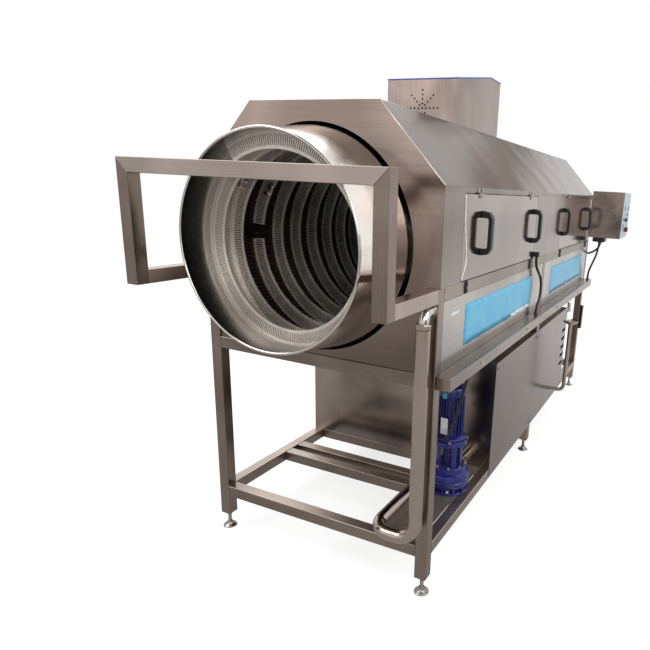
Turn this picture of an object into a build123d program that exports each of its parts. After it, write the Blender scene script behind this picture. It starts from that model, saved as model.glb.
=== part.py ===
from build123d import *
import math
import os

# Rotary drum washer, millimetres. Drum centre plane at X = 0, outlet at the front (low Y),
# front faces of the front legs at Y = 0, floor at Z = 0. Everything is shifted at export so
# that the origin lies under the middle of the whole machine.

# Square-tube frame
TUBE = 50.0
TUBE_WALL = 2.0
FRAME_WIDTH = 1035.0
FRONT_BAY = 1452.0
REAR_BAY = 1409.0
LEG_BOTTOM = 73.0
LEG_PLUG = 6.0
BASE_RAIL_Z = 168.0
MID_RAIL_Z = 864.0
TOP_RAIL_Z = 1174.0
PUMP_BAR_YS = (395.0, 490.0)
TANK_FRONT_Y = 717.0
TANK_REAR_Y = 2340.0
BEAM_REACH = 22.0
SHEET = 2.0

# Levelling feet
PAD_RADIUS = 30.0
PAD_RIM = 5.0
PAD_HEIGHT = 26.0
PAD_NECK_RADIUS = 12.0
STEM_RADIUS = 8.0
STEM_IN_LEG = 60.0
FOOT_NUT_RADIUS = 14.0
FOOT_NUT_HEIGHT = 12.0
LOOSE_FIT = 0.2

# Outlet guard and side ledge
GUARD_REACH = 358.0
GUARD_TOP_Z = 1600.0
LEDGE_WIDTH = 57.5
LEDGE_FRONT_Y = 5.0

# Hood
HOOD_FRONT_Y = 8.0
HOOD_REAR_SETBACK = 30.0
HOOD_OVERHANG = 1.5
SHOULDER_RISE = 218.0
SLOPE_WIDTH = 249.0
ROOF_MARGIN = 68.0
SHOULDER_FLANGE = 20.0
OPENING_CLEARANCE = 13.0
OPENING_MARGIN = 20.0

# Side doors, mirrored about a plane across the machine
DOOR_FRONT_Y = 185.0
DOOR_REAR_Y = 1200.0
DOOR_END_MARGIN = 66.0
DOOR_GAP = 1.5
DOOR_DEPTH = 15.0
HANDLE_YS = (381.0, 1139.0)
HANDLE_RISE = 170.0
HANDLE_HEIGHT = 171.0
HANDLE_REACH = 45.0
HANDLE_WIDTH = 30.0
HANDLE_BAR = 14.0
HANDLE_LEG = 20.0
HANDLE_CORNER = 18.0
HINGE_INSET = 150.0
KNUCKLE_RADIUS = 4.5
KNUCKLE_LENGTH = 22.0
KNUCKLE_GAP = 0.4
KNUCKLE_CLEARANCE = 0.4
HINGE_PIN_RADIUS = 2.5
PIN_FIT = 0.06
LEAF_HEIGHT = 17.0
CATCH_INSET = 60.0
CATCH_WIDTH = 16.0
CATCH_HEIGHT = 46.0
CATCH_THICKNESS = 6.0

# Drum
DRUM_SIDE_GAP = 69.5
LIP_STEP = 35.0
LIP_FRONT_Y = -258.0
LIP_LENGTH = 108.0
CONE_LENGTH = 140.0
DRUM_REAR_GAP = 41.0
DRUM_SHEET = 3.0
RIM_BEAD = 5.0
INLET_STEP = 98.0
FLIGHT_HEIGHT = 57.0
FLIGHT_PITCH = 118.0
FLIGHT_SETBACK = 60.0
FLIGHT_START_ANGLE = 122.0
FLIGHT_STEP = 15.0
FLIGHT_SECTION = 45.0
FLIGHT_JOINT_ANGLE = 45.0
FLIGHT_SHEET = 3.0
FLIGHT_GAP_TURN = 1022.0
FLIGHT_GAP_ANGLE = 9.4
DRUM_FIT = 0.1

# Riding rings, rollers and drive
FRONT_STATION_Y = 350.0
REAR_STATION_SETBACK = 340.0
RING_HEIGHT = 25.0
RING_WIDTH = 40.0
ROLLER_RADIUS = 50.0
ROLLER_WIDTH = 50.0
ROLLER_ANGLE = 40.0
ROLL_GAP = 0.3
SHAFT_RADIUS = 12.5
SHAFT_FIT = 0.06
BEARING_GAP = 8.0
BEARING_WIDTH = 30.0
BEARING_HALF = 30.0
SHAFT_END = 5.0
GEAR_MODULE = 6.0
GEAR_RIM = 43.0
PINION_TEETH = 20
GEAR_WIDTH = 40.0
GEAR_Y = 927.0
GEAR_BACKLASH = 0.5
PRESSURE_ANGLE = 20.0
PINION_X = 101.0
PINION_SHAFT_RADIUS = 14.0
GEARBOX_GAP = 12.0
GEARBOX_LENGTH = 84.0
GEARBOX_HALF_WIDTH = 62.0
GEARBOX_HEIGHT = 130.0
GEARBOX_BELOW_SHAFT = 24.0
DRIVE_MOTOR_RADIUS = 55.0
DRIVE_MOTOR_LENGTH = 120.0
DRIVE_RAIL_WIDTH = 40.0
DRIVE_RAIL_HEIGHT = 30.0
SLOT_MARGIN = 8.0

# Box on the roof
BOX_LEFT_X = -65.0
BOX_RIGHT_X = 268.0
BOX_FRONT_Y = 650.0
BOX_REAR_Y = 1205.0
BOX_BREAK_Y = 1060.0
BOX_FRONT_HEIGHT = 181.0
BOX_REAR_HEIGHT = 256.0
VENT_X = 107.0
VENT_RISE = 63.0
VENT_PITCH = 18.4
VENT_RADIUS = 4.0
VENT_RAYS = 5
VENT_PER_RAY = 4
VENT_LOW_OFFSET = 14.0
VENT_LOW_DROP = 19.0

# Tub
TUB_CLEARANCE = 2.5
TUB_WALL_DROP = 24.0
TUB_EDGE_DROP = 2.0
TUB_LIP = 18.0
TUB_END_GAP = 2.0
DRAIN_Y = 1300.0
DRAIN_RADIUS = 60.0
DRAIN_DROP = 126.0
PANEL_RECESS = 2.0

# Tank and its covers
TANK_HEIGHT = 552.0
COVER_BOTTOM_Z = 177.0
COVER_SEAM_OFFSET = 6.0
COVER_SEAM_GAP = 2.0
VENT_SLOT_LENGTH = 110.0
VENT_SLOT_HEIGHT = 24.0
VENT_SLOT_PITCH = 62.0
VENT_SLOTS = 5
VENT_SLOT_TOP_Z = 616.0
VENT_SLOT_INSET = 16.0
DRIP_Y = 1890.0
DRIP_Z = 290.0
DRIP_REACH = 111.5
DRIP_TOP_Z = 745.0
DRIP_RADIUS = 12.5
DRIP_BEND = 40.0
FUNNEL_RADIUS = 48.0
FUNNEL_HEIGHT = 28.0
PIPE_WALL = 2.0

# Pump
FLOOR_PLATE = 3.0
FLOOR_PLATE_REACH = 115.0
FLOOR_PLATE_FRONT_Y = 25.0
PUMP_INSET = 67.5
PUMP_Y = 467.0
PUMP_BASE = 12.0
PUMP_BASE_RADIUS = 92.0
VOLUTE_RADIUS = 98.0
VOLUTE_BOTTOM_Z = 246.0
VOLUTE_TOP_Z = 322.0
VOLUTE_WALL = 8.0
NOZZLE_OFFSET = 90.0
NOZZLE_Z = 281.0
FLANGE_RADIUS = 45.0
FLANGE_LENGTH = 14.0
LANTERN_FLANGE = 24.0
LANTERN_FLANGE_RADIUS = 80.0
LANTERN_RADIUS = 58.0
LANTERN_HEIGHT = 103.0
MOTOR_RADIUS = 52.0
MOTOR_HEIGHT = 207.0
FIN_HEIGHT = 8.0
FIN_THICKNESS = 4.0
FINS = 24
FAN_COVER_RADIUS = 62.0
FAN_COVER_HEIGHT = 40.0
PUMP_SHAFT_RADIUS = 12.0
IMPELLER_RADIUS = 70.0
IMPELLER_HEIGHT = 30.0
IMPELLER_HUB_RADIUS = 22.0
IMPELLER_VANES = 6
VANE_THICKNESS = 4.0
TERMINAL_BOX = 56.0
TERMINAL_DEPTH = 34.0
TERMINAL_Z = 540.0

# Water pipes
PIPE_RADIUS = 25.5
PIPE_BEND = 76.0
RISER_Y = -60.0
RISER_TOP_Z = 1095.0
UNION_RADIUS = 29.0
UNION_HEIGHT = 20.0
ELBOW_COLLAR_RADIUS = 23.0
SPRAY_RADIUS = 17.0
SPRAY_BEND = 25.0
SPRAY_INLET_DROP = 24.0
SPRAY_TURN_Y = 95.0
SPRAY_INSET = 37.5
SPRAY_RISE = 195.0
SPRAY_SETBACK = 60.0
NOZZLES = 12
NOZZLE_RADIUS = 9.0
NOZZLE_LENGTH = 14.0
NOZZLE_TAPER = 15.0
NOZZLE_FIRST_Y = 190.0
NOZZLE_PITCH = 230.0

# Feed chute
CHUTE_HALF_WIDTH = 182.0
CHUTE_WALL = 120.0
CHUTE_OUTSIDE = 299.0
CHUTE_INSIDE = 91.0
CHUTE_TOP_RISE = 155.0
CHUTE_END_DROP = 75.0
CHUTE_CLEARANCE = 4.0
CHUTE_LUG = 40.0

# Control cabinet
CABINET_SETBACK = 19.0
CABINET_LENGTH = 450.0
CABINET_RISE = 26.0
CABINET_HEIGHT = 350.0
CABINET_DEPTH = 218.0
CABINET_DOOR = 19.0
CABINET_DOOR_GAP = 1.0
BRACKET_BAR = 30.0
BRACKET_RISES = (40.0, 280.0)
BRACKET_REACH = 380.0
CABINET_HINGE_RISES = (70.0, 280.0)
CABINET_PIVOT_GAP = 5.0
BUTTON_SETBACK = 225.0
BUTTON_RADIUS = 14.0
BUTTON_REACH = 12.0
BUTTON_STEM_RADIUS = 8.0
BUTTON_TRAVEL = 5.0
BUTTON_FIT = 0.4
BUTTON_COLLAR = 3.0
BUTTON_SPREAD = 60.0
START_STOP_RISE = 141.0
SELECTOR_RISE = 184.0
METER_RISE = 258.0
METER_WIDTH = 70.0
METER_HEIGHT = 44.0
METER_REACH = 4.0
KNOB_REACH = 5.0
GRIP_REACH = 9.0
GRIP_WIDTH = 6.0
STOP_HEAD_RADIUS = 20.0
STOP_HEAD_REACH = 24.0
STOP_RISE = 66.0
LAMP_RADIUS = 11.0
LAMP_REACH = 10.0

# Cables, each with its route from end to end: out from the frame's side, along, up
CONDUIT_RADIUS = 7.0
CONDUIT_ROUTE = [(14.5, 1220, 1232), (14.5, 1220, 1190), (19.5, 1262, 1152), (26.5, 1312, 1110),
                 (28.5, 1330, 1050), (27.5, 1316, 990), (23.5, 1284, 955), (23.5, 1284, 926)]
CABLE_RADIUS = 8.0
LEDGE_CABLE_ROUTE = [(82.5, 2920, 1234), (82.5, 2920, 1185), (74.5, 2912, 1120), (57.5, 2900, 1060),
                     (38.5, 2890, 1005), (28.5, 2886, 960), (28.5, 2886, 926)]
LEG_CABLE_ROUTE = [(82.5, 2990, 1234), (82.5, 2990, 1192), (64.5, 2984, 1152), (30.5, 2974, 1124),
                   (-5.5, 2958, 1112), (-25, 2935, 1112), (-25, 2911, 1112)]
PUMP_CABLE_ROUTE = [(-194.5, 439, 540), (-194.5, 405, 540), (-174.5, 376, 518), (-133.5, 366, 494),
                    (-97.5, 372, 502), (-77.5, 382, 546), (-61.5, 390, 615), (-46.5, 395, 690),
                    (-31.5, 395, 760), (-17.5, 395, 815), (-17.5, 395, 864)]
GLAND_RADIUS = 12.0
CONDUIT_BOX = 26.0

# Worked out from the sizes above
HALF = FRAME_WIDTH / 2
INNER = HALF - TUBE
LEG_X = HALF - TUBE / 2
LEG_YS = (0.0, FRONT_BAY, FRONT_BAY + REAR_BAY)
FRAME_REAR_Y = LEG_YS[2] + TUBE
RAIL_TOP = BASE_RAIL_Z + TUBE
MID_RAIL_TOP = MID_RAIL_Z + TUBE
HOOD_BASE_Z = TOP_RAIL_Z + TUBE
DRUM_RADIUS = INNER - DRUM_SIDE_GAP
DRUM_INNER = DRUM_RADIUS - DRUM_SHEET
LIP_RADIUS = DRUM_RADIUS - LIP_STEP
INLET_RADIUS = DRUM_RADIUS - INLET_STEP
OPENING_RADIUS = DRUM_RADIUS + OPENING_CLEARANCE
DRUM_Z = MID_RAIL_TOP + OPENING_MARGIN + OPENING_RADIUS
HOOD_HALF = HALF + HOOD_OVERHANG
HOOD_REAR_Y = FRAME_REAR_Y - HOOD_REAR_SETBACK
SHOULDER_Z = DRUM_Z + SHOULDER_RISE
ROOF_HALF_WIDTH = HOOD_HALF - SLOPE_WIDTH
ROOF_Z = DRUM_Z + OPENING_RADIUS + ROOF_MARGIN
DOOR_MIRROR_Y = (DOOR_FRONT_Y + HOOD_REAR_Y - DOOR_END_MARGIN) / 2
DOOR_TOP_Z = SHOULDER_Z - SHOULDER_FLANGE - DOOR_GAP
DOOR_BOTTOM_Z = HOOD_BASE_Z + 2 * DOOR_GAP
HANDLE_Z = HOOD_BASE_Z + HANDLE_RISE
HINGE_X = HOOD_HALF + KNUCKLE_RADIUS + KNUCKLE_CLEARANCE
HINGE_Z = DOOR_TOP_Z + DOOR_GAP / 2
CONE_FRONT_Y = LIP_FRONT_Y + LIP_LENGTH
SHELL_FRONT_Y = CONE_FRONT_Y + CONE_LENGTH
DRUM_REAR_Y = HOOD_REAR_Y - DRUM_REAR_GAP
FLIGHT_START_Y = LIP_FRONT_Y + FLIGHT_SETBACK
FLIGHT_END_Y = DRUM_REAR_Y - FLIGHT_SETBACK
STATION_YS = (FRONT_STATION_Y, DRUM_REAR_Y - REAR_STATION_SETBACK)
RING_RADIUS = DRUM_RADIUS + RING_HEIGHT
ROLLER_ORBIT = RING_RADIUS + ROLL_GAP + ROLLER_RADIUS
ROLLER_X = ROLLER_ORBIT * math.sin(math.radians(ROLLER_ANGLE))
ROLLER_Z = DRUM_Z - ROLLER_ORBIT * math.cos(math.radians(ROLLER_ANGLE))
GEAR_TEETH = round(2 * (DRUM_RADIUS + GEAR_RIM) / GEAR_MODULE)
GEAR_RADIUS = GEAR_MODULE * GEAR_TEETH / 2
PINION_RADIUS = GEAR_MODULE * PINION_TEETH / 2
PINION_Z = DRUM_Z + math.sqrt((GEAR_RADIUS + PINION_RADIUS) ** 2 - PINION_X ** 2)
PINION_ANGLE = math.degrees(math.atan2(PINION_Z - DRUM_Z, PINION_X))
GEARBOX_Y = GEAR_Y + GEAR_WIDTH / 2 + GEARBOX_GAP
GEARBOX_BOTTOM = PINION_Z - GEARBOX_BELOW_SHAFT
BOX_FRONT_Z = ROOF_Z + BOX_FRONT_HEIGHT
BOX_REAR_Z = ROOF_Z + BOX_REAR_HEIGHT
VENT_Z = ROOF_Z + VENT_RISE
TUB_HALF_WIDTH = INNER - TUB_CLEARANCE
TUB_WALL_TOP = HOOD_BASE_Z - TUB_WALL_DROP
TUB_EDGE_Z = MID_RAIL_TOP - TUB_EDGE_DROP
TUB_LIP_Z = TUB_EDGE_Z + TUB_LIP
TANK_BOTTOM = RAIL_TOP
TANK_TOP = TANK_BOTTOM + TANK_HEIGHT
COVER_SEAM_Y = LEG_YS[1] + COVER_SEAM_OFFSET
DRIP_X = HALF + DRIP_REACH
FLOOR_TOP = RAIL_TOP + FLOOR_PLATE
PUMP_X = INNER - PUMP_INSET
FLOOR_PLATE_LEFT_X = PUMP_X - FLOOR_PLATE_REACH
NOZZLE_X = PUMP_X - NOZZLE_OFFSET
LANTERN_TOP = VOLUTE_TOP_Z + 2 * LANTERN_FLANGE + LANTERN_HEIGHT
MOTOR_TOP = LANTERN_TOP + MOTOR_HEIGHT
SPRAY_INLET_Z = TOP_RAIL_Z - SPRAY_INLET_DROP
SPRAY_X = INNER - SPRAY_INSET
SPRAY_Z = DRUM_Z + SPRAY_RISE
SPRAY_REAR_Y = DRUM_REAR_Y - SPRAY_SETBACK
CHUTE_TOP_Y = HOOD_REAR_Y + CHUTE_OUTSIDE
CHUTE_TOP_Z = DRUM_Z + CHUTE_TOP_RISE
CHUTE_END_Y = HOOD_REAR_Y - CHUTE_INSIDE
CHUTE_END_Z = DRUM_Z - CHUTE_END_DROP
CABINET_X = HOOD_HALF
CABINET_FACE_X = CABINET_X + CABINET_DEPTH
PANEL_X = CABINET_FACE_X + CABINET_DOOR_GAP + CABINET_DOOR
CABINET_FRONT_Y = HOOD_REAR_Y - CABINET_SETBACK
CABINET_REAR_Y = CABINET_FRONT_Y + CABINET_LENGTH
CABINET_BOTTOM_Z = HOOD_BASE_Z + CABINET_RISE
CABINET_TOP_Z = CABINET_BOTTOM_Z + CABINET_HEIGHT
CABINET_PIVOT_X = PANEL_X - CABINET_DOOR / 2
CABINET_PIVOT_Y = CABINET_REAR_Y + CABINET_PIVOT_GAP
BRACKET_X = HOOD_HALF - BRACKET_BAR
BRACKET_ZS = [CABINET_BOTTOM_Z + rise for rise in BRACKET_RISES]
CABINET_HINGE_ZS = [CABINET_BOTTOM_Z + rise for rise in CABINET_HINGE_RISES]
BUTTON_Y = CABINET_FRONT_Y + BUTTON_SETBACK
START_STOP_Z = CABINET_BOTTOM_Z + START_STOP_RISE
SELECTOR_Z = CABINET_BOTTOM_Z + SELECTOR_RISE
METER_Z = CABINET_BOTTOM_Z + METER_RISE
STOP_Z = CABINET_BOTTOM_Z + STOP_RISE
CONDUIT_PATH = [(HALF + out, y, z) for out, y, z in CONDUIT_ROUTE]
LEDGE_CABLE_PATH = [(HALF + out, y, z) for out, y, z in LEDGE_CABLE_ROUTE]
LEG_CABLE_PATH = [(HALF + out, y, z) for out, y, z in LEG_CABLE_ROUTE]
PUMP_CABLE_PATH = [(HALF + out, y, z) for out, y, z in PUMP_CABLE_ROUTE]

# Whole machine's reach, for the origin under its middle
LEFT_REACH = -HOOD_HALF - HANDLE_REACH
RIGHT_REACH = PANEL_X + BUTTON_FIT + BUTTON_TRAVEL + STOP_HEAD_REACH
FRONT_REACH = -GUARD_REACH
REAR_REACH = CABINET_PIVOT_Y + KNUCKLE_RADIUS
ORIGIN = Pos(-(LEFT_REACH + RIGHT_REACH) / 2, -(FRONT_REACH + REAR_REACH) / 2, 0)


def block(x0, x1, y0, y1, z0, z1):
    centre = Pos((x0 + x1) / 2, (y0 + y1) / 2, (z0 + z1) / 2)
    return centre * Box(x1 - x0, y1 - y0, z1 - z0)


def tube_x(x0, x1, y, z):
    inside = block(x0, x1, y + TUBE_WALL, y + TUBE - TUBE_WALL, z + TUBE_WALL, z + TUBE - TUBE_WALL)
    return block(x0, x1, y, y + TUBE, z, z + TUBE) - inside


def tube_y(x, y0, y1, z):
    inside = block(x + TUBE_WALL, x + TUBE - TUBE_WALL, y0, y1, z + TUBE_WALL, z + TUBE - TUBE_WALL)
    return block(x, x + TUBE, y0, y1, z, z + TUBE) - inside


def tube_z(x, y, z0, z1):
    inside = block(x + TUBE_WALL, x + TUBE - TUBE_WALL, y + TUBE_WALL, y + TUBE - TUBE_WALL, z0, z1)
    return block(x, x + TUBE, y, y + TUBE, z0, z1) - inside


def rod_x(radius, x0, x1, y, z):
    return Pos((x0 + x1) / 2, y, z) * Rot(0, 90, 0) * Cylinder(radius, x1 - x0)


def rod_y(radius, x, y0, y1, z):
    return Pos(x, (y0 + y1) / 2, z) * Rot(90, 0, 0) * Cylinder(radius, y1 - y0)


def rod_z(radius, x, y, z0, z1):
    return Pos(x, y, (z0 + z1) / 2) * Cylinder(radius, z1 - z0)


def prism_y(outline, y0, y1):
    face = make_face(Polyline(*[(x, y0, z) for x, z in outline], close=True))
    return extrude(face, amount=y1 - y0, dir=(0, 1, 0))


def prism_x(outline, x0, x1):
    face = make_face(Polyline(*[(x0, y, z) for y, z in outline], close=True))
    return extrude(face, amount=x1 - x0, dir=(1, 0, 0))


def bent_outline(line, thickness):
    """Closed outline of a sheet whose one face follows the line, with mitred bends."""
    normals = []
    for (ax, az), (bx, bz) in zip(line, line[1:]):
        length = math.hypot(bx - ax, bz - az)
        normals.append((-(bz - az) / length, (bx - ax) / length))
    pairs = zip([normals[0]] + normals, normals + [normals[-1]])
    other = []
    for (x, z), (n, m) in zip(line, pairs):
        scale = thickness / (1 + n[0] * m[0] + n[1] * m[1])
        other.append((x + (n[0] + m[0]) * scale, z + (n[1] + m[1]) * scale))
    return list(line) + other[::-1]


def turned(profile):
    """Ring turned about the drum's axis from a profile of (y, radius) points."""
    face = make_face(Polyline(*[(0, y, DRUM_Z + r) for y, r in profile], close=True))
    return revolve(face, axis=Axis((0, 0, DRUM_Z), (0, 1, 0)))


def drum_ring(outer, inner, y0, y1):
    return turned([(y0, inner), (y1, inner), (y1, outer), (y0, outer)])


def pipe(points, radius, bend, wall=0.0):
    path = FilletPolyline(*points, radius=bend)
    start = Plane(path @ 0, z_dir=path % 0)
    section = Circle(radius)
    if wall:
        section = section - Circle(radius - wall)
    return sweep(start * section, path)


def both_sides(shape):
    return [shape, mirror(shape, about=Plane.YZ)]


def mirrored_door(shape):
    return mirror(shape, about=Plane((0, DOOR_MIRROR_Y, 0), z_dir=(0, 1, 0)))


def legs():
    solids = []
    for y in LEG_YS:
        for side in (-1, 1):
            x = side * LEG_X - TUBE / 2
            plug = block(x + TUBE_WALL, x + TUBE - TUBE_WALL, y + TUBE_WALL, y + TUBE - TUBE_WALL,
                         LEG_BOTTOM, LEG_BOTTOM + LEG_PLUG)
            leg = tube_z(x, y, LEG_BOTTOM, HOOD_BASE_Z) + plug
            leg -= rod_z(STEM_RADIUS + LOOSE_FIT, side * LEG_X, y + TUBE / 2, 0, HOOD_BASE_Z / 2)
            if y == LEG_YS[0] and side == 1:
                leg -= rod_y(SPRAY_RADIUS + LOOSE_FIT, LEG_X, y - TUBE, y + 2 * TUBE, SPRAY_INLET_Z)
            solids.append(leg)
    return solids


def side_rails():
    solids = []
    for z in (BASE_RAIL_Z, MID_RAIL_Z, TOP_RAIL_Z):
        for near, far in zip(LEG_YS, LEG_YS[1:]):
            solids += both_sides(tube_y(INNER, near + TUBE, far, z))
    return solids


def cross_rails():
    base_ys = [LEG_YS[0], *PUMP_BAR_YS, TANK_FRONT_Y, LEG_YS[1], TANK_REAR_Y - TUBE, LEG_YS[2]]
    solids = [tube_x(-INNER, INNER, y, BASE_RAIL_Z) for y in base_ys]
    solids += [tube_x(-INNER, INNER, y, MID_RAIL_Z) for y in (LEG_YS[0], LEG_YS[2])]
    for y in STATION_YS:
        reach = INNER + BEAM_REACH
        solids.append(tube_x(-reach, reach, y - TUBE / 2, MID_RAIL_Z - TUBE))
    return solids


def foot_places():
    return [(side * LEG_X, y + TUBE / 2) for y in LEG_YS for side in (-1, 1)]


def foot_stems():
    solids = []
    for x, y in foot_places():
        stem = rod_z(STEM_RADIUS, x, y, PAD_HEIGHT, LEG_BOTTOM + STEM_IN_LEG)
        nut = extrude(Pos(x, y, LEG_BOTTOM - FOOT_NUT_HEIGHT) * RegularPolygon(FOOT_NUT_RADIUS, 6),
                      amount=FOOT_NUT_HEIGHT)
        solids.append(stem + nut)
    return solids


def foot_pads():
    outline = [(0, 0), (PAD_RADIUS, 0), (PAD_RADIUS, PAD_RIM), (PAD_NECK_RADIUS, PAD_HEIGHT),
               (0, PAD_HEIGHT)]
    face = make_face(Polyline(*[(x, 0, z) for x, z in outline], close=True))
    pad = revolve(face, axis=Axis.Z)
    return [Pos(x, y, 0) * pad for x, y in foot_places()]


def outlet_guard():
    front = -GUARD_REACH
    post = tube_z(INNER, front, TOP_RAIL_Z, GUARD_TOP_Z)
    arm = tube_y(INNER, front + TUBE, 0, TOP_RAIL_Z)
    bar = tube_x(-INNER, INNER, front, GUARD_TOP_Z - TUBE)
    return both_sides(post) + both_sides(arm) + [bar]


def side_ledge():
    top = MID_RAIL_TOP
    outer = block(HALF, HALF + LEDGE_WIDTH, LEDGE_FRONT_Y, FRAME_REAR_Y, MID_RAIL_Z, top)
    inside = block(HALF + TUBE_WALL, HALF + LEDGE_WIDTH - TUBE_WALL, LEDGE_FRONT_Y + TUBE_WALL,
                   FRAME_REAR_Y - TUBE_WALL, MID_RAIL_Z + TUBE_WALL, top - TUBE_WALL)
    return [outer - inside]


def end_outline():
    right = [(INNER, MID_RAIL_TOP), (INNER, HOOD_BASE_Z), (HOOD_HALF, HOOD_BASE_Z),
             (HOOD_HALF, SHOULDER_Z), (ROOF_HALF_WIDTH, ROOF_Z)]
    return right + [(-x, z) for x, z in right[::-1]]


def hood_front_plate():
    plate = prism_y(end_outline(), HOOD_FRONT_Y, HOOD_FRONT_Y + SHEET)
    return [plate - rod_y(OPENING_RADIUS, 0, HOOD_FRONT_Y - SHEET, HOOD_FRONT_Y + 2 * SHEET, DRUM_Z)]


def chute_z(y):
    slope = (CHUTE_TOP_Z - CHUTE_END_Z) / (CHUTE_TOP_Y - CHUTE_END_Y)
    return CHUTE_END_Z + (y - CHUTE_END_Y) * slope


def hood_rear_plate():
    front = HOOD_REAR_Y - SHEET
    plate = prism_y(end_outline(), front, HOOD_REAR_Y)
    half = CHUTE_HALF_WIDTH + CHUTE_CLEARANCE
    low = chute_z(front) - SHEET * 2 - CHUTE_CLEARANCE
    high = chute_z(HOOD_REAR_Y) + CHUTE_WALL + CHUTE_CLEARANCE
    return [plate - block(-half, half, front - SHEET, HOOD_REAR_Y + SHEET, low, high)]


def hood_roof():
    line = [(HOOD_HALF, SHOULDER_Z - SHOULDER_FLANGE), (HOOD_HALF, SHOULDER_Z), (ROOF_HALF_WIDTH, ROOF_Z)]
    line += [(-x, z) for x, z in line[::-1]]
    roof = prism_y(bent_outline(line, SHEET), HOOD_FRONT_Y + SHEET, HOOD_REAR_Y - SHEET)
    half = max(GEARBOX_HALF_WIDTH, PINION_RADIUS + GEAR_MODULE) + SLOT_MARGIN
    front = GEAR_Y - GEAR_WIDTH / 2 - SLOT_MARGIN
    rear = GEARBOX_Y + GEARBOX_LENGTH + SLOT_MARGIN
    slot = block(PINION_X - half, PINION_X + half, front, rear, ROOF_Z - 2 * SHEET, ROOF_Z + SHEET)
    return [roof - slot]


def hood_side_bands():
    ends = [(HOOD_FRONT_Y + SHEET, DOOR_FRONT_Y - DOOR_GAP),
            (DOOR_REAR_Y + DOOR_GAP, 2 * DOOR_MIRROR_Y - DOOR_REAR_Y - DOOR_GAP),
            (2 * DOOR_MIRROR_Y - DOOR_FRONT_Y + DOOR_GAP, HOOD_REAR_Y - SHEET)]
    solids = []
    for near, far in ends:
        band = block(HOOD_HALF - SHEET, HOOD_HALF, near, far, HOOD_BASE_Z, SHOULDER_Z - SHOULDER_FLANGE)
        solids += both_sides(band)
    return solids


def hinge_places():
    return (DOOR_FRONT_Y + HINGE_INSET, DOOR_REAR_Y - HINGE_INSET)


def door_knuckle(y):
    half = KNUCKLE_LENGTH / 2
    leaf = block(HOOD_HALF, HINGE_X, y - half, y + half, DOOR_TOP_Z - LEAF_HEIGHT, HINGE_Z - KNUCKLE_RADIUS)
    leaf -= block(HOOD_HALF + SHEET, HINGE_X, y - half, y + half, 0, HINGE_Z - KNUCKLE_RADIUS - SHEET)
    barrel = rod_y(KNUCKLE_RADIUS, HINGE_X, y - half, y + half, HINGE_Z)
    leaf += block(HOOD_HALF, HINGE_X, y - half, y + half, HINGE_Z - KNUCKLE_RADIUS, DOOR_TOP_Z)
    return leaf + barrel - rod_y(HINGE_PIN_RADIUS + PIN_FIT, HINGE_X, y - half, y + half, HINGE_Z)


def door_right_front():
    skin = block(HOOD_HALF - DOOR_DEPTH, HOOD_HALF, DOOR_FRONT_Y, DOOR_REAR_Y, DOOR_BOTTOM_Z, DOOR_TOP_Z)
    hollow = block(HOOD_HALF - DOOR_DEPTH, HOOD_HALF - SHEET, DOOR_FRONT_Y + SHEET, DOOR_REAR_Y - SHEET,
                   DOOR_BOTTOM_Z + SHEET, DOOR_TOP_Z - SHEET)
    door = skin - hollow
    for y in hinge_places():
        door += door_knuckle(y)
    return door


def handle(y):
    half = HANDLE_HEIGHT / 2
    face = HOOD_HALF
    outer = Rectangle(HANDLE_REACH, HANDLE_HEIGHT)
    outer = fillet(outer.vertices().group_by(Axis.X)[-1], HANDLE_CORNER)
    gap_reach = HANDLE_REACH - HANDLE_BAR
    gap = Pos(-HANDLE_BAR / 2, 0) * Rectangle(gap_reach, 2 * (half - HANDLE_LEG))
    gap = fillet(gap.vertices().group_by(Axis.X)[-1], HANDLE_CORNER - HANDLE_BAR / 2)
    middle = (face + HANDLE_REACH / 2, y + HANDLE_WIDTH / 2, HANDLE_Z)
    place = Plane(middle, x_dir=(1, 0, 0), z_dir=(0, -1, 0))
    return extrude(place * (outer - gap), amount=HANDLE_WIDTH)


def handles_right_front():
    return [handle(y) for y in HANDLE_YS]


def hinge_fixed(y):
    """Two fixed knuckles on a leaf above the door's knuckle, with the pin through all three."""
    half = KNUCKLE_LENGTH / 2
    solids = []
    for side in (-1, 1):
        reach = half + KNUCKLE_GAP
        near, far = sorted((y + side * reach, y + side * (reach + KNUCKLE_LENGTH)))
        base = SHOULDER_Z - SHOULDER_FLANGE
        leaf = block(HOOD_HALF, HOOD_HALF + SHEET, near, far, base, base + LEAF_HEIGHT)
        web = block(HOOD_HALF, HINGE_X, near, far, base, HINGE_Z + KNUCKLE_RADIUS)
        barrel = rod_y(KNUCKLE_RADIUS, HINGE_X, near, far, HINGE_Z)
        bore = rod_y(HINGE_PIN_RADIUS + PIN_FIT, HINGE_X, near, far, HINGE_Z)
        solids.append(leaf + web + barrel - bore)
    return solids


def door_hinges():
    reach = 1.5 * KNUCKLE_LENGTH + KNUCKLE_GAP
    solids = []
    for y in hinge_places():
        pin = rod_y(HINGE_PIN_RADIUS, HINGE_X, y - reach, y + reach, HINGE_Z)
        for part in (pin, *hinge_fixed(y)):
            for half in (part, mirrored_door(part)):
                solids += both_sides(half)
    return solids


def door_catches():
    solids = []
    for y in (DOOR_FRONT_Y + CATCH_INSET, DOOR_REAR_Y - CATCH_INSET):
        catch = block(HALF, HALF + CATCH_THICKNESS, y - CATCH_WIDTH / 2, y + CATCH_WIDTH / 2,
                      HOOD_BASE_Z - CATCH_HEIGHT, HOOD_BASE_Z)
        for half in (catch, mirrored_door(catch)):
            solids += both_sides(half)
    return solids


def tub_line():
    right = [(TUB_HALF_WIDTH, TUB_WALL_TOP), (TUB_HALF_WIDTH, TUB_EDGE_Z)]
    return right + [(0, MID_RAIL_Z)] + [(-x, z) for x, z in right[::-1]]


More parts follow.
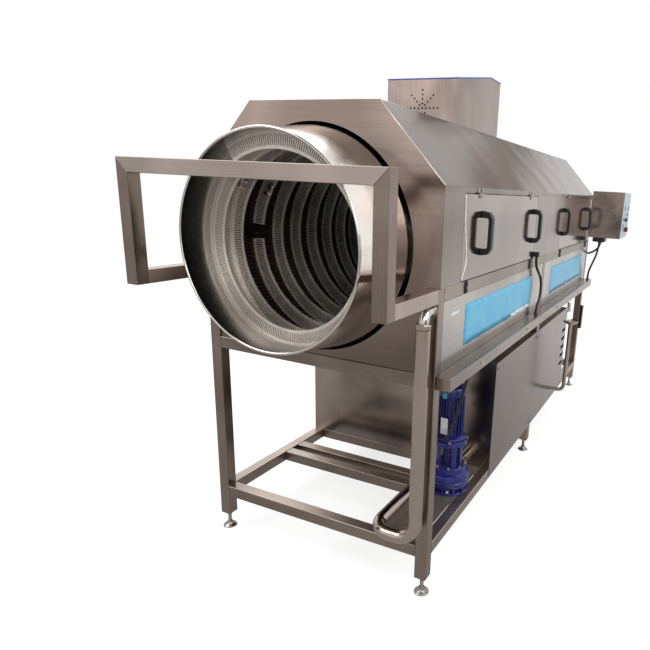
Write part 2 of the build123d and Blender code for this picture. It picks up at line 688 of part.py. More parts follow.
def tub_floor_z(x):
    rise = (TUB_EDGE_Z - MID_RAIL_Z) / TUB_HALF_WIDTH
    return MID_RAIL_Z + abs(x) * rise + SHEET * math.sqrt(1 + rise ** 2)


def tub_trough():
    front = LEG_YS[0] + TUBE + TUB_END_GAP
    rear = LEG_YS[2] - TUB_END_GAP
    line = tub_line()
    outline = bent_outline(line[::-1], SHEET)
    trough = prism_y(outline, front, rear)
    lip = [(-TUB_HALF_WIDTH, TUB_EDGE_Z), (0, MID_RAIL_Z), (TUB_HALF_WIDTH, TUB_EDGE_Z),
           (TUB_HALF_WIDTH, TUB_LIP_Z), (-TUB_HALF_WIDTH, TUB_LIP_Z)]
    trough += prism_y(lip, front, front + SHEET)
    trough += prism_y(lip, rear - SHEET, rear)
    drain = rod_z(DRAIN_RADIUS, 0, DRAIN_Y, MID_RAIL_Z - DRAIN_DROP, tub_floor_z(DRAIN_RADIUS))
    trough += drain
    trough -= rod_z(DRAIN_RADIUS - SHEET, 0, DRAIN_Y, MID_RAIL_Z - 2 * DRAIN_DROP, TUB_LIP_Z)
    inlet = rod_x(SPRAY_RADIUS + LOOSE_FIT, SPRAY_X, HALF, SPRAY_TURN_Y, SPRAY_INLET_Z)
    return [trough - inlet]


def tub_side_panels():
    solids = []
    for near, far in zip(LEG_YS, LEG_YS[1:]):
        face = HALF - PANEL_RECESS
        panel = block(face - SHEET, face, near + TUBE, far, MID_RAIL_TOP, TOP_RAIL_Z)
        solids += both_sides(panel)
    return solids


def water_tank():
    """Floor and four walls, welded edge to edge."""
    front = TANK_FRONT_Y + SHEET
    half = TUB_HALF_WIDTH
    floor = block(-half, half, front, TANK_REAR_Y, TANK_BOTTOM, TANK_BOTTOM + SHEET)
    low = TANK_BOTTOM + SHEET
    front_wall = block(-half, half, front, front + SHEET, low, TANK_TOP)
    front_wall -= rod_y(PIPE_RADIUS - PIPE_WALL, PUMP_X, front - SHEET, front + 2 * SHEET, NOZZLE_Z)
    rear_wall = block(-half, half, TANK_REAR_Y - SHEET, TANK_REAR_Y, low, TANK_TOP)
    left_wall = block(-half, SHEET - half, front + SHEET, TANK_REAR_Y - SHEET, low, TANK_TOP)
    right_wall = mirror(left_wall, about=Plane.YZ)
    right_wall -= rod_x(DRIP_RADIUS - PIPE_WALL, half - 2 * SHEET, HALF, DRIP_Y, DRIP_Z)
    return [floor, front_wall, rear_wall, left_wall, right_wall]


def tank_covers():
    front_cover = block(-HALF, HALF, TANK_FRONT_Y, TANK_FRONT_Y + SHEET, TANK_BOTTOM, TANK_TOP)
    front_cover -= rod_y(PIPE_RADIUS + LOOSE_FIT, PUMP_X, TANK_FRONT_Y - SHEET, TANK_FRONT_Y + 2 * SHEET,
                         NOZZLE_Z)
    solids = [front_cover]
    edges = [TANK_FRONT_Y, COVER_SEAM_Y, TANK_REAR_Y]
    for near, far in zip(edges, edges[1:]):
        cover = block(HALF, HALF + SHEET, near, far - COVER_SEAM_GAP, COVER_BOTTOM_Z, TANK_TOP)
        if far == TANK_REAR_Y:
            slot_y = far - VENT_SLOT_INSET - VENT_SLOT_LENGTH / 2
            for row in range(VENT_SLOTS):
                z = VENT_SLOT_TOP_Z - row * VENT_SLOT_PITCH
                slot = Box(4 * SHEET, VENT_SLOT_LENGTH, VENT_SLOT_HEIGHT)
                cover -= Pos(HALF, slot_y, z) * slot
        left, right = both_sides(cover)[::-1]
        hole = rod_x(DRIP_RADIUS + LOOSE_FIT, HALF - SHEET, HALF + 2 * SHEET, DRIP_Y, DRIP_Z)
        solids += [left, right - hole]
    return solids


def drip_pipe():
    points = [(TUB_HALF_WIDTH, DRIP_Y, DRIP_Z), (DRIP_X, DRIP_Y, DRIP_Z), (DRIP_X, DRIP_Y, DRIP_TOP_Z)]
    body = pipe(points, DRIP_RADIUS, DRIP_BEND, PIPE_WALL)
    top = DRIP_TOP_Z + FUNNEL_HEIGHT
    inner = DRIP_RADIUS - PIPE_WALL
    outline = [(inner, DRIP_TOP_Z), (DRIP_RADIUS, DRIP_TOP_Z), (FUNNEL_RADIUS, top),
               (FUNNEL_RADIUS - PIPE_WALL, top)]
    face = make_face(Polyline(*[(x, 0, z) for x, z in outline], close=True))
    funnel = Pos(DRIP_X, DRIP_Y, 0) * revolve(face, axis=Axis.Z)
    return [body + funnel]


def drum_bore(y):
    """Inner radius of the drum's wall at a place along it."""
    inside = LIP_RADIUS - DRUM_SHEET
    if y <= CONE_FRONT_Y:
        return inside
    share = min(1.0, (y - CONE_FRONT_Y) / CONE_LENGTH)
    return inside + share * (DRUM_INNER - inside)


def outlet_collar():
    inside = LIP_RADIUS - DRUM_SHEET
    profile = [(LIP_FRONT_Y, inside), (CONE_FRONT_Y, inside), (SHELL_FRONT_Y, DRUM_INNER),
               (SHELL_FRONT_Y, DRUM_RADIUS), (CONE_FRONT_Y, LIP_RADIUS), (LIP_FRONT_Y, LIP_RADIUS)]
    bead_centre = (0, LIP_FRONT_Y + RIM_BEAD, DRUM_Z + LIP_RADIUS)
    bead = Plane(bead_centre, x_dir=(0, 1, 0), z_dir=(1, 0, 0)) * Circle(RIM_BEAD)
    rim = revolve(bead, axis=Axis((0, 0, DRUM_Z), (0, 1, 0)))
    bore = drum_ring(inside, inside - 2 * RIM_BEAD, LIP_FRONT_Y - RIM_BEAD, LIP_FRONT_Y + 4 * RIM_BEAD)
    return [turned(profile) + rim - bore]


def drum_shell():
    return [drum_ring(DRUM_RADIUS, DRUM_INNER, SHELL_FRONT_Y, DRUM_REAR_Y)]


def inlet_ring():
    return [drum_ring(DRUM_RADIUS, INLET_RADIUS, DRUM_REAR_Y, DRUM_REAR_Y + DRUM_SHEET)]


def flight_section(turn_from, turn_to):
    """Faceted helical strip that stands inwards from the drum's wall."""
    steps = math.ceil((turn_to - turn_from) / FLIGHT_STEP)
    rows = []
    for i in range(steps + 1):
        turn = turn_from + (turn_to - turn_from) * i / steps
        angle = math.radians(FLIGHT_START_ANGLE - turn)
        y = FLIGHT_START_Y + FLIGHT_PITCH * turn / 360
        outer = drum_bore(y - FLIGHT_SHEET / 2) - DRUM_FIT
        inner = outer - FLIGHT_HEIGHT
        half = FLIGHT_SHEET / 2
        section = ((inner, y - half), (outer, y - half), (outer, y + half), (inner, y + half))
        rows.append([(r * math.cos(angle), along, DRUM_Z + r * math.sin(angle)) for r, along in section])
    faces = [Face(Wire.make_polygon(rows[0])), Face(Wire.make_polygon(rows[-1]))]
    for near, far in zip(rows, rows[1:]):
        for k in range(4):
            a, b, c, d = near[k], near[(k + 1) % 4], far[(k + 1) % 4], far[k]
            faces += [Face(Wire.make_polygon([a, b, c])), Face(Wire.make_polygon([a, c, d]))]
    return Solid(Shell(faces))


def drum_flight():
    """Strip in sections that meet end to end, apart from one gap near the mouth."""
    end = 360 * (FLIGHT_END_Y - FLIGHT_START_Y) / FLIGHT_PITCH
    gap = (FLIGHT_GAP_TURN - FLIGHT_GAP_ANGLE / 2, FLIGHT_GAP_TURN + FLIGHT_GAP_ANGLE / 2)
    solids = []
    for near, far in ((0, gap[0]), (gap[1], end)):
        first_joint = (FLIGHT_START_ANGLE - FLIGHT_JOINT_ANGLE) % FLIGHT_SECTION
        joints = [first_joint + FLIGHT_SECTION * k for k in range(math.ceil(end / FLIGHT_SECTION))]
        turns = [near] + [turn for turn in joints if near < turn < far] + [far]
        solids += [flight_section(start, stop) for start, stop in zip(turns, turns[1:])]
    return solids


def riding_rings():
    half = RING_WIDTH / 2
    return [drum_ring(RING_RADIUS, DRUM_RADIUS + DRUM_FIT, y - half, y + half) for y in STATION_YS]


def involute(angle):
    return math.tan(angle) - angle


def gear_outline(teeth, first_angle):
    """Outline of a spur gear with one tooth centred on the first angle, in degrees."""
    pitch = GEAR_MODULE * teeth / 2
    base = pitch * math.cos(math.radians(PRESSURE_ANGLE))
    root = pitch - 1.25 * GEAR_MODULE
    tip = pitch + GEAR_MODULE
    start = max(base, root)
    radii = [root] if root < base else []
    radii += [start + (tip - start) * k / 4 for k in range(5)]
    half_at_pitch = math.pi / (2 * teeth) - GEAR_BACKLASH / (2 * pitch)
    halves = []
    for radius in radii:
        roll = math.acos(min(1.0, base / radius))
        halves.append(half_at_pitch + involute(math.radians(PRESSURE_ANGLE)) - involute(roll))
    points = []
    for tooth in range(teeth):
        centre = math.radians(first_angle) + 2 * math.pi * tooth / teeth
        flank = [(r, centre - h) for r, h in zip(radii, halves)]
        flank += [(r, centre + h) for r, h in zip(radii[::-1], halves[::-1])]
        points += [(r * math.cos(a), r * math.sin(a)) for r, a in flank]
    return points


def ring_gear():
    outline = [(x, DRUM_Z + z) for x, z in gear_outline(GEAR_TEETH, PINION_ANGLE)]
    gear = prism_y(outline, GEAR_Y - GEAR_WIDTH / 2, GEAR_Y + GEAR_WIDTH / 2)
    return [gear - rod_y(DRUM_RADIUS + DRUM_FIT, 0, GEAR_Y - GEAR_WIDTH, GEAR_Y + GEAR_WIDTH, DRUM_Z)]


def drive_pinion():
    gap_angle = PINION_ANGLE + 180 + 180 / PINION_TEETH
    outline = [(PINION_X + x, PINION_Z + z) for x, z in gear_outline(PINION_TEETH, gap_angle)]
    gear = prism_y(outline, GEAR_Y - GEAR_WIDTH / 2, GEAR_Y + GEAR_WIDTH / 2)
    shaft = rod_y(PINION_SHAFT_RADIUS, PINION_X, GEAR_Y, GEARBOX_Y + GEARBOX_LENGTH, PINION_Z)
    return [gear + shaft]


def gearbox():
    left = PINION_X - GEARBOX_HALF_WIDTH
    right = PINION_X + GEARBOX_HALF_WIDTH
    rear = GEARBOX_Y + GEARBOX_LENGTH
    case = block(left, right, GEARBOX_Y, rear, GEARBOX_BOTTOM, GEARBOX_BOTTOM + GEARBOX_HEIGHT)
    case = fillet(case.edges().filter_by(Axis.Y).group_by(Axis.Z)[-1], SLOT_MARGIN)
    lug_z = ROOF_Z + DRIVE_RAIL_HEIGHT
    lugs = block(left - DRIVE_RAIL_WIDTH, right + DRIVE_RAIL_WIDTH, GEARBOX_Y + GEARBOX_LENGTH / 4,
                 GEARBOX_Y + GEARBOX_LENGTH * 3 / 4, lug_z, lug_z + SLOT_MARGIN)
    bore = rod_y(PINION_SHAFT_RADIUS + SHAFT_FIT, PINION_X, GEARBOX_Y - SHEET, rear + SHEET, PINION_Z)
    return [case + lugs - bore]


def gearbox_motor():
    z = GEARBOX_BOTTOM + GEARBOX_HEIGHT - DRIVE_MOTOR_RADIUS
    front = GEARBOX_Y + GEARBOX_LENGTH
    body = rod_y(DRIVE_MOTOR_RADIUS, PINION_X, front, front + DRIVE_MOTOR_LENGTH, z)
    body -= rod_y(PINION_SHAFT_RADIUS + SHAFT_FIT, PINION_X, front - SHEET, front + SLOT_MARGIN, PINION_Z)
    return [body]


def drive_rails():
    solids = []
    for side in (-1, 1):
        x = PINION_X + side * (GEARBOX_HALF_WIDTH + SLOT_MARGIN + SHEET + DRIVE_RAIL_WIDTH / 2)
        solids.append(block(x - DRIVE_RAIL_WIDTH / 2, x + DRIVE_RAIL_WIDTH / 2, GEARBOX_Y,
                            GEARBOX_Y + GEARBOX_LENGTH, ROOF_Z, ROOF_Z + DRIVE_RAIL_HEIGHT))
    return solids


def box_profile(inset):
    front = BOX_FRONT_Y + inset
    rear = BOX_REAR_Y - inset
    return [(front, ROOF_Z), (front, BOX_FRONT_Z - SHEET), (BOX_BREAK_Y, BOX_REAR_Z - SHEET),
            (rear, BOX_REAR_Z - SHEET), (rear, ROOF_Z)]


def box_walls():
    box = prism_x(box_profile(0), BOX_LEFT_X, BOX_RIGHT_X)
    box -= prism_x(box_profile(SHEET), BOX_LEFT_X + SHEET, BOX_RIGHT_X - SHEET)
    holes = [(VENT_X, VENT_Z), (VENT_X + VENT_LOW_OFFSET, VENT_Z - VENT_LOW_DROP)]
    for ray in range(VENT_RAYS):
        angle = math.pi * ray / (VENT_RAYS - 1)
        for k in range(1, VENT_PER_RAY + 1):
            reach = k * VENT_PITCH
            holes.append((VENT_X + reach * math.cos(angle), VENT_Z + reach * math.sin(angle)))
    for x, z in holes:
        box -= rod_y(VENT_RADIUS, x, BOX_FRONT_Y - SHEET, BOX_FRONT_Y + 2 * SHEET, z)
    return [box]


def box_lid():
    line = [(BOX_REAR_Y, BOX_REAR_Z), (BOX_BREAK_Y, BOX_REAR_Z), (BOX_FRONT_Y, BOX_FRONT_Z)]
    low = [(y, z - SHEET) for y, z in line]
    return [prism_x(line + low[::-1], BOX_LEFT_X, BOX_RIGHT_X)]


def top_box():
    return box_walls() + box_lid()


def roller(y, side):
    x = side * ROLLER_X
    half = ROLLER_WIDTH / 2
    reach = half + BEARING_GAP + BEARING_WIDTH + SHAFT_END
    wheel = rod_y(ROLLER_RADIUS, x, y - half, y + half, ROLLER_Z)
    return [wheel + rod_y(SHAFT_RADIUS, x, y - reach, y + reach, ROLLER_Z)]


def bearing_places():
    offset = ROLLER_WIDTH / 2 + BEARING_GAP + BEARING_WIDTH / 2
    return [(side * ROLLER_X, y + end * offset) for y in STATION_YS for side in (-1, 1) for end in (-1, 1)]


def roller_bearings():
    half = BEARING_WIDTH / 2
    solids = []
    for x, y in bearing_places():
        base = block(x - BEARING_HALF, x + BEARING_HALF, y - half, y + half, ROLLER_Z - BEARING_HALF,
                     ROLLER_Z)
        cap = rod_y(BEARING_HALF, x, y - half, y + half, ROLLER_Z)
        solids.append(base + cap - rod_y(SHAFT_RADIUS + SHAFT_FIT, x, y - 2 * half, y + 2 * half, ROLLER_Z))
    return solids


def roller_pedestals():
    solids = []
    top = ROLLER_Z - BEARING_HALF
    for x, y in bearing_places():
        left, right = x - BEARING_HALF, x + BEARING_HALF
        outline = [(left, tub_floor_z(left)), (right, tub_floor_z(right)), (right, top), (left, top)]
        solids.append(prism_y(outline, y - BEARING_WIDTH / 2, y + BEARING_WIDTH / 2))
    return solids


def spray_line():
    points = [(LEG_X, LEG_YS[0] - TUBE_WALL, SPRAY_INLET_Z), (LEG_X, SPRAY_TURN_Y, SPRAY_INLET_Z),
              (SPRAY_X, SPRAY_TURN_Y, SPRAY_INLET_Z), (SPRAY_X, SPRAY_TURN_Y, SPRAY_Z),
              (SPRAY_X, SPRAY_REAR_Y, SPRAY_Z)]
    return [pipe(points, SPRAY_RADIUS, SPRAY_BEND)]


def spray_nozzles():
    aim = Vector(-SPRAY_X, 0, DRUM_Z - SPRAY_Z).normalized()
    solids = []
    for k in range(NOZZLES):
        seat = Vector(SPRAY_X, NOZZLE_FIRST_Y + k * NOZZLE_PITCH, SPRAY_Z)
        seat += aim * (SPRAY_RADIUS + LOOSE_FIT)
        mouth = Plane(seat, z_dir=aim) * Circle(NOZZLE_RADIUS)
        solids.append(extrude(mouth, amount=NOZZLE_LENGTH, taper=NOZZLE_TAPER))
    return solids


def spray_pipe():
    return spray_line() + spray_nozzles()


def floor_plate():
    front = LEG_YS[0] + FLOOR_PLATE_FRONT_Y
    return [block(FLOOR_PLATE_LEFT_X, INNER, front, TANK_FRONT_Y, RAIL_TOP, FLOOR_TOP)]


def pump_volute():
    base = rod_z(PUMP_BASE_RADIUS, PUMP_X, PUMP_Y, FLOOR_TOP, FLOOR_TOP + PUMP_BASE)
    foot = rod_z(LANTERN_RADIUS, PUMP_X, PUMP_Y, FLOOR_TOP, VOLUTE_BOTTOM_Z)
    case = rod_z(VOLUTE_RADIUS, PUMP_X, PUMP_Y, VOLUTE_BOTTOM_Z, VOLUTE_TOP_Z)
    case = fillet(case.edges(), VOLUTE_WALL)
    mouth_y = PUMP_Y - VOLUTE_RADIUS - FLANGE_LENGTH
    outlet = rod_y(PIPE_RADIUS + VOLUTE_WALL, NOZZLE_X, mouth_y, PUMP_Y, NOZZLE_Z)
    outlet += rod_y(FLANGE_RADIUS, NOZZLE_X, mouth_y, mouth_y + FLANGE_LENGTH, NOZZLE_Z)
    inlet_y = PUMP_Y + VOLUTE_RADIUS + FLANGE_LENGTH
    inlet = rod_y(PIPE_RADIUS + VOLUTE_WALL, PUMP_X, PUMP_Y, inlet_y, NOZZLE_Z)
    inlet += rod_y(FLANGE_RADIUS, PUMP_X, inlet_y - FLANGE_LENGTH, inlet_y, NOZZLE_Z)
    chamber = rod_z(IMPELLER_RADIUS + VOLUTE_WALL, PUMP_X, PUMP_Y, VOLUTE_BOTTOM_Z + VOLUTE_WALL,
                    VOLUTE_TOP_Z - VOLUTE_WALL)
    chamber += rod_y(PIPE_RADIUS - PIPE_WALL, NOZZLE_X, mouth_y, PUMP_Y, NOZZLE_Z)
    chamber += rod_y(PIPE_RADIUS - PIPE_WALL, PUMP_X, PUMP_Y, inlet_y, NOZZLE_Z)
    shaft_hole = rod_z(PUMP_SHAFT_RADIUS + SHAFT_FIT, PUMP_X, PUMP_Y, VOLUTE_BOTTOM_Z + VOLUTE_WALL,
                       VOLUTE_TOP_Z)
    return [base + foot + case + outlet + inlet - chamber - shaft_hole]


def pump_lantern():
    low = rod_z(LANTERN_FLANGE_RADIUS, PUMP_X, PUMP_Y, VOLUTE_TOP_Z, VOLUTE_TOP_Z + LANTERN_FLANGE)
    neck = rod_z(LANTERN_RADIUS, PUMP_X, PUMP_Y, VOLUTE_TOP_Z, LANTERN_TOP)
    high = rod_z(LANTERN_FLANGE_RADIUS, PUMP_X, PUMP_Y, LANTERN_TOP - LANTERN_FLANGE, LANTERN_TOP)
    window_z = VOLUTE_TOP_Z + LANTERN_FLANGE
    window = block(PUMP_X - LANTERN_RADIUS / 2, PUMP_X + LANTERN_RADIUS / 2, PUMP_Y - 2 * LANTERN_RADIUS,
                   PUMP_Y + 2 * LANTERN_RADIUS, window_z, window_z + LANTERN_HEIGHT)
    hole = rod_z(PUMP_SHAFT_RADIUS + SHAFT_FIT, PUMP_X, PUMP_Y, VOLUTE_TOP_Z, LANTERN_TOP)
    return [low + neck + high - window - hole]


def motor_case():
    body = rod_z(MOTOR_RADIUS, PUMP_X, PUMP_Y, LANTERN_TOP, MOTOR_TOP)
    for k in range(FINS):
        fin = block(0, MOTOR_RADIUS + FIN_HEIGHT, -FIN_THICKNESS / 2, FIN_THICKNESS / 2,
                    LANTERN_TOP + LANTERN_FLANGE, MOTOR_TOP)
        body += Pos(PUMP_X, PUMP_Y, 0) * Rot(0, 0, 360 * k / FINS) * fin
    hole = rod_z(PUMP_SHAFT_RADIUS + SHAFT_FIT, PUMP_X, PUMP_Y, LANTERN_TOP, LANTERN_TOP + MOTOR_HEIGHT / 2)
    return [body - hole]


def terminal_box():
    side = PUMP_X - MOTOR_RADIUS - FIN_HEIGHT
    half = TERMINAL_BOX / 2
    return [block(side - TERMINAL_DEPTH, side, PUMP_Y - half, PUMP_Y + half, TERMINAL_Z - half,
                  TERMINAL_Z + half)]


def pump_motor():
    return motor_case() + terminal_box()


def pump_fan_cover():
    cover = rod_z(FAN_COVER_RADIUS, PUMP_X, PUMP_Y, MOTOR_TOP, MOTOR_TOP + FAN_COVER_HEIGHT)
    return [fillet(cover.edges().group_by(Axis.Z)[-1], VOLUTE_WALL)]


def pump_impeller():
    low = VOLUTE_BOTTOM_Z + VOLUTE_WALL
    disc_z = (low + VOLUTE_TOP_Z - VOLUTE_WALL - IMPELLER_HEIGHT) / 2
    body = rod_z(PUMP_SHAFT_RADIUS, PUMP_X, PUMP_Y, disc_z, LANTERN_TOP + MOTOR_HEIGHT / 2 - SHEET)
    body += rod_z(IMPELLER_HUB_RADIUS, PUMP_X, PUMP_Y, disc_z, disc_z + IMPELLER_HEIGHT)
    top = disc_z + IMPELLER_HEIGHT
    body += rod_z(IMPELLER_RADIUS, PUMP_X, PUMP_Y, top - VANE_THICKNESS, top)
    for k in range(IMPELLER_VANES):
        vane = block(0, IMPELLER_RADIUS - VANE_THICKNESS, -VANE_THICKNESS / 2, VANE_THICKNESS / 2, disc_z,
                     disc_z + IMPELLER_HEIGHT)
        body += Pos(PUMP_X, PUMP_Y, 0) * Rot(0, 0, 360 * k / IMPELLER_VANES) * vane
    return [body]


def suction_pipe():
    start = PUMP_Y + VOLUTE_RADIUS + FLANGE_LENGTH
    body = rod_y(PIPE_RADIUS, PUMP_X, start, TANK_FRONT_Y + SHEET, NOZZLE_Z)
    body += rod_y(FLANGE_RADIUS, PUMP_X, start, start + FLANGE_LENGTH, NOZZLE_Z)
    return [body - rod_y(PIPE_RADIUS - PIPE_WALL, PUMP_X, start, TANK_FRONT_Y + SHEET, NOZZLE_Z)]


def delivery_pipe():
    start = PUMP_Y - VOLUTE_RADIUS - FLANGE_LENGTH
    points = [(NOZZLE_X, start, NOZZLE_Z), (NOZZLE_X, RISER_Y, NOZZLE_Z), (LEG_X, RISER_Y, NOZZLE_Z),
              (LEG_X, RISER_Y, RISER_TOP_Z)]
    body = pipe(points, PIPE_RADIUS, PIPE_BEND, PIPE_WALL)
    flange = rod_y(FLANGE_RADIUS, NOZZLE_X, start - FLANGE_LENGTH, start, NOZZLE_Z)
    flange -= rod_y(PIPE_RADIUS - PIPE_WALL, NOZZLE_X, start - FLANGE_LENGTH, start, NOZZLE_Z)
    return [body + flange]


def delivery_elbow():
    nut = extrude(Pos(LEG_X, RISER_Y, RISER_TOP_Z) * RegularPolygon(UNION_RADIUS, 6), amount=UNION_HEIGHT)
    reach = SPRAY_INLET_Z - RISER_TOP_Z - UNION_HEIGHT
    start = (LEG_X, RISER_Y, RISER_TOP_Z + UNION_HEIGHT)
    points = [start, (LEG_X, RISER_Y, SPRAY_INLET_Z), (LEG_X, LEG_YS[0] - TUBE_WALL, SPRAY_INLET_Z)]
    bend = pipe(points, SPRAY_RADIUS + PIPE_WALL, reach - SHEET)
    collar = rod_y(ELBOW_COLLAR_RADIUS, LEG_X, LEG_YS[0] - UNION_HEIGHT / 2, LEG_YS[0], SPRAY_INLET_Z)
    body = nut + bend + collar
    body -= rod_y(SPRAY_RADIUS + LOOSE_FIT, LEG_X, LEG_YS[0] - TUBE_WALL, LEG_YS[0], SPRAY_INLET_Z)
    return [body]


def feed_chute():
    floor = [(CHUTE_END_Y, CHUTE_END_Z), (CHUTE_TOP_Y, CHUTE_TOP_Z)]
    low = [(y, z - SHEET) for y, z in floor[::-1]]
    chute = prism_x(floor + low, -CHUTE_HALF_WIDTH, CHUTE_HALF_WIDTH)
    wall = floor[::-1] + [(y, z + CHUTE_WALL) for y, z in floor]
    mid_y = HOOD_REAR_Y + SHEET
    for side in (-1, 1):
        x0, x1 = sorted((side * CHUTE_HALF_WIDTH, side * (CHUTE_HALF_WIDTH - SHEET)))
        chute += prism_x(wall, x0, x1)
        x0, x1 = sorted((side * CHUTE_HALF_WIDTH, side * (CHUTE_HALF_WIDTH + CHUTE_LUG)))
        z = chute_z(mid_y)
        chute += block(x0, x1, HOOD_REAR_Y, HOOD_REAR_Y + SHEET, z, z + CHUTE_WALL)
    return [chute]


def cabinet_bracket():
    rear = HOOD_REAR_Y + BRACKET_REACH
    return [block(BRACKET_X, HOOD_HALF, HOOD_REAR_Y, rear, z, z + BRACKET_BAR) for z in BRACKET_ZS]


def cabinet_body():
    body = block(CABINET_X, CABINET_FACE_X, CABINET_FRONT_Y, CABINET_REAR_Y, CABINET_BOTTOM_Z,
                 CABINET_TOP_Z)
    body -= block(CABINET_X + SHEET, CABINET_FACE_X, CABINET_FRONT_Y + SHEET, CABINET_REAR_Y - SHEET,
                  CABINET_BOTTOM_Z + SHEET, CABINET_TOP_Z - SHEET)
    for z in CABINET_HINGE_ZS:
        for side in (-1, 1):
            low, high = sorted((z + side * (KNUCKLE_LENGTH / 2 + KNUCKLE_GAP),
                                z + side * (1.5 * KNUCKLE_LENGTH + KNUCKLE_GAP)))
            leaf = block(CABINET_FACE_X - LEAF_HEIGHT, CABINET_PIVOT_X, CABINET_REAR_Y,
                         CABINET_REAR_Y + SHEET, low, high)
            web = block(CABINET_PIVOT_X - KNUCKLE_RADIUS, CABINET_PIVOT_X, CABINET_REAR_Y,
                        CABINET_PIVOT_Y, low, high)
            barrel = rod_z(KNUCKLE_RADIUS, CABINET_PIVOT_X, CABINET_PIVOT_Y, low, high)
            body += leaf + web + barrel
            body -= rod_z(HINGE_PIN_RADIUS + PIN_FIT, CABINET_PIVOT_X, CABINET_PIVOT_Y, low, high)
    reach = 1.5 * KNUCKLE_LENGTH + KNUCKLE_GAP
    pins = [rod_z(HINGE_PIN_RADIUS, CABINET_PIVOT_X, CABINET_PIVOT_Y, z - reach, z + reach)
            for z in CABINET_HINGE_ZS]
    return [body, *pins]


def stem_holes():
    return [(BUTTON_Y - BUTTON_SPREAD / 2, START_STOP_Z), (BUTTON_Y + BUTTON_SPREAD / 2, START_STOP_Z),
            (BUTTON_Y, SELECTOR_Z), (BUTTON_Y, STOP_Z)]


def cabinet_door():
    back = CABINET_FACE_X + CABINET_DOOR_GAP
    door = block(back, PANEL_X, CABINET_FRONT_Y, CABINET_REAR_Y, CABINET_BOTTOM_Z, CABINET_TOP_Z)
    door -= block(back, PANEL_X - SHEET, CABINET_FRONT_Y + SHEET, CABINET_REAR_Y - SHEET,
                  CABINET_BOTTOM_Z + SHEET, CABINET_TOP_Z - SHEET)
    for z in CABINET_HINGE_ZS:
        half = KNUCKLE_LENGTH / 2
        web = block(CABINET_PIVOT_X, CABINET_PIVOT_X + KNUCKLE_RADIUS, CABINET_REAR_Y - SHEET,
                    CABINET_PIVOT_Y, z - half, z + half)
        door += web + rod_z(KNUCKLE_RADIUS, CABINET_PIVOT_X, CABINET_PIVOT_Y, z - half, z + half)
        door -= rod_z(HINGE_PIN_RADIUS + PIN_FIT, CABINET_PIVOT_X, CABINET_PIVOT_Y, z - half, z + half)
    for y, z in stem_holes():
        door -= rod_x(BUTTON_STEM_RADIUS + BUTTON_FIT, back, PANEL_X + SHEET, y, z)
    return [door]


def push_button(y, z, head, reach, travel):
    """Head that stands off the panel by its travel, on a stem with a collar behind the panel."""
    back = PANEL_X - SHEET - BUTTON_FIT
    front = PANEL_X + BUTTON_FIT + travel
    stem = rod_x(BUTTON_STEM_RADIUS, back - BUTTON_COLLAR, front + reach / 2, y, z)
    top = rod_x(head, front, front + reach, y, z)
    top = fillet(top.edges().group_by(Axis.X)[-1], reach / 4)
    collar = rod_x(BUTTON_STEM_RADIUS + BUTTON_COLLAR, back - BUTTON_COLLAR, back, y, z)
    return [stem + top + collar]


def start_button():
    y, z = stem_holes()[0]
    return push_button(y, z, BUTTON_RADIUS, BUTTON_REACH, BUTTON_TRAVEL)


def stop_button():
    y, z = stem_holes()[1]
    return push_button(y, z, BUTTON_RADIUS, BUTTON_REACH, BUTTON_TRAVEL)


def emergency_stop():
    y, z = stem_holes()[3]
    return push_button(y, z, STOP_HEAD_RADIUS, STOP_HEAD_REACH, BUTTON_TRAVEL)


def selector_knob():
    y, z = stem_holes()[2]
    knob = push_button(y, z, BUTTON_RADIUS, KNOB_REACH, 0)[0]
    front = PANEL_X + BUTTON_FIT
    grip = block(front, front + KNOB_REACH + GRIP_REACH, y - GRIP_WIDTH / 2, y + GRIP_WIDTH / 2,
                 z - BUTTON_RADIUS + KNOB_REACH, z + BUTTON_RADIUS - KNOB_REACH)
    return [knob + grip]


def panel_lamps():
    solids = []
    for side in (-1, 1):
        y = BUTTON_Y + side * BUTTON_SPREAD / 2
        lamp = rod_x(LAMP_RADIUS, PANEL_X, PANEL_X + LAMP_REACH, y, SELECTOR_Z)
        solids.append(fillet(lamp.edges().group_by(Axis.X)[-1], LAMP_REACH / 2))
    half = METER_WIDTH / 2
    solids.append(block(PANEL_X, PANEL_X + METER_REACH, BUTTON_Y - half, BUTTON_Y + half,
                        METER_Z - METER_HEIGHT / 2, METER_Z + METER_HEIGHT / 2))
    return solids


def cord(name, route, radius):
    """Cable along a route of straight runs, with arcs as large as the runs allow."""
    points = [Vector(*point) for point in route]
    runs = [b - a for a, b in zip(points, points[1:])]
    bends = []
    for near, far in zip(runs, runs[1:]):
        half_turn = math.radians(near.get_angle(far)) / 2
        bends.append(0.45 * min(near.length, far.length) / math.tan(half_turn))
    print(name, "bend radii", [round(bend) for bend in bends])
    return pipe(points, radius, bends)


def cable_glands():
    x, y, z = CONDUIT_PATH[0]
    half = CONDUIT_BOX / 2
    solids = [block(HOOD_HALF, HOOD_HALF + CONDUIT_BOX, y - half, y + half, z, z + CONDUIT_BOX)]
    for x, y, z in (CONDUIT_PATH[-1], LEDGE_CABLE_PATH[-1]):
        solids.append(rod_z(GLAND_RADIUS, x, y, MID_RAIL_TOP, z))
    for x, y, z in (LEDGE_CABLE_PATH[0], LEG_CABLE_PATH[0]):
        solids.append(rod_z(GLAND_RADIUS, x, y, z, CABINET_BOTTOM_Z))
    return solids


def cables():
    return cable_glands() + [cord("conduit", CONDUIT_PATH, CONDUIT_RADIUS),
                             cord("ledge cable", LEDGE_CABLE_PATH, CABLE_RADIUS),
                             cord("leg cable", LEG_CABLE_PATH, CABLE_RADIUS),
                             cord("pump cable", PUMP_CABLE_PATH, CONDUIT_RADIUS)]


def drive_gearmotor():
    return gearbox() + gearbox_motor()


def roller_supports():
    return roller_bearings() + roller_pedestals()


def pump_casing():
    return pump_volute() + pump_lantern()


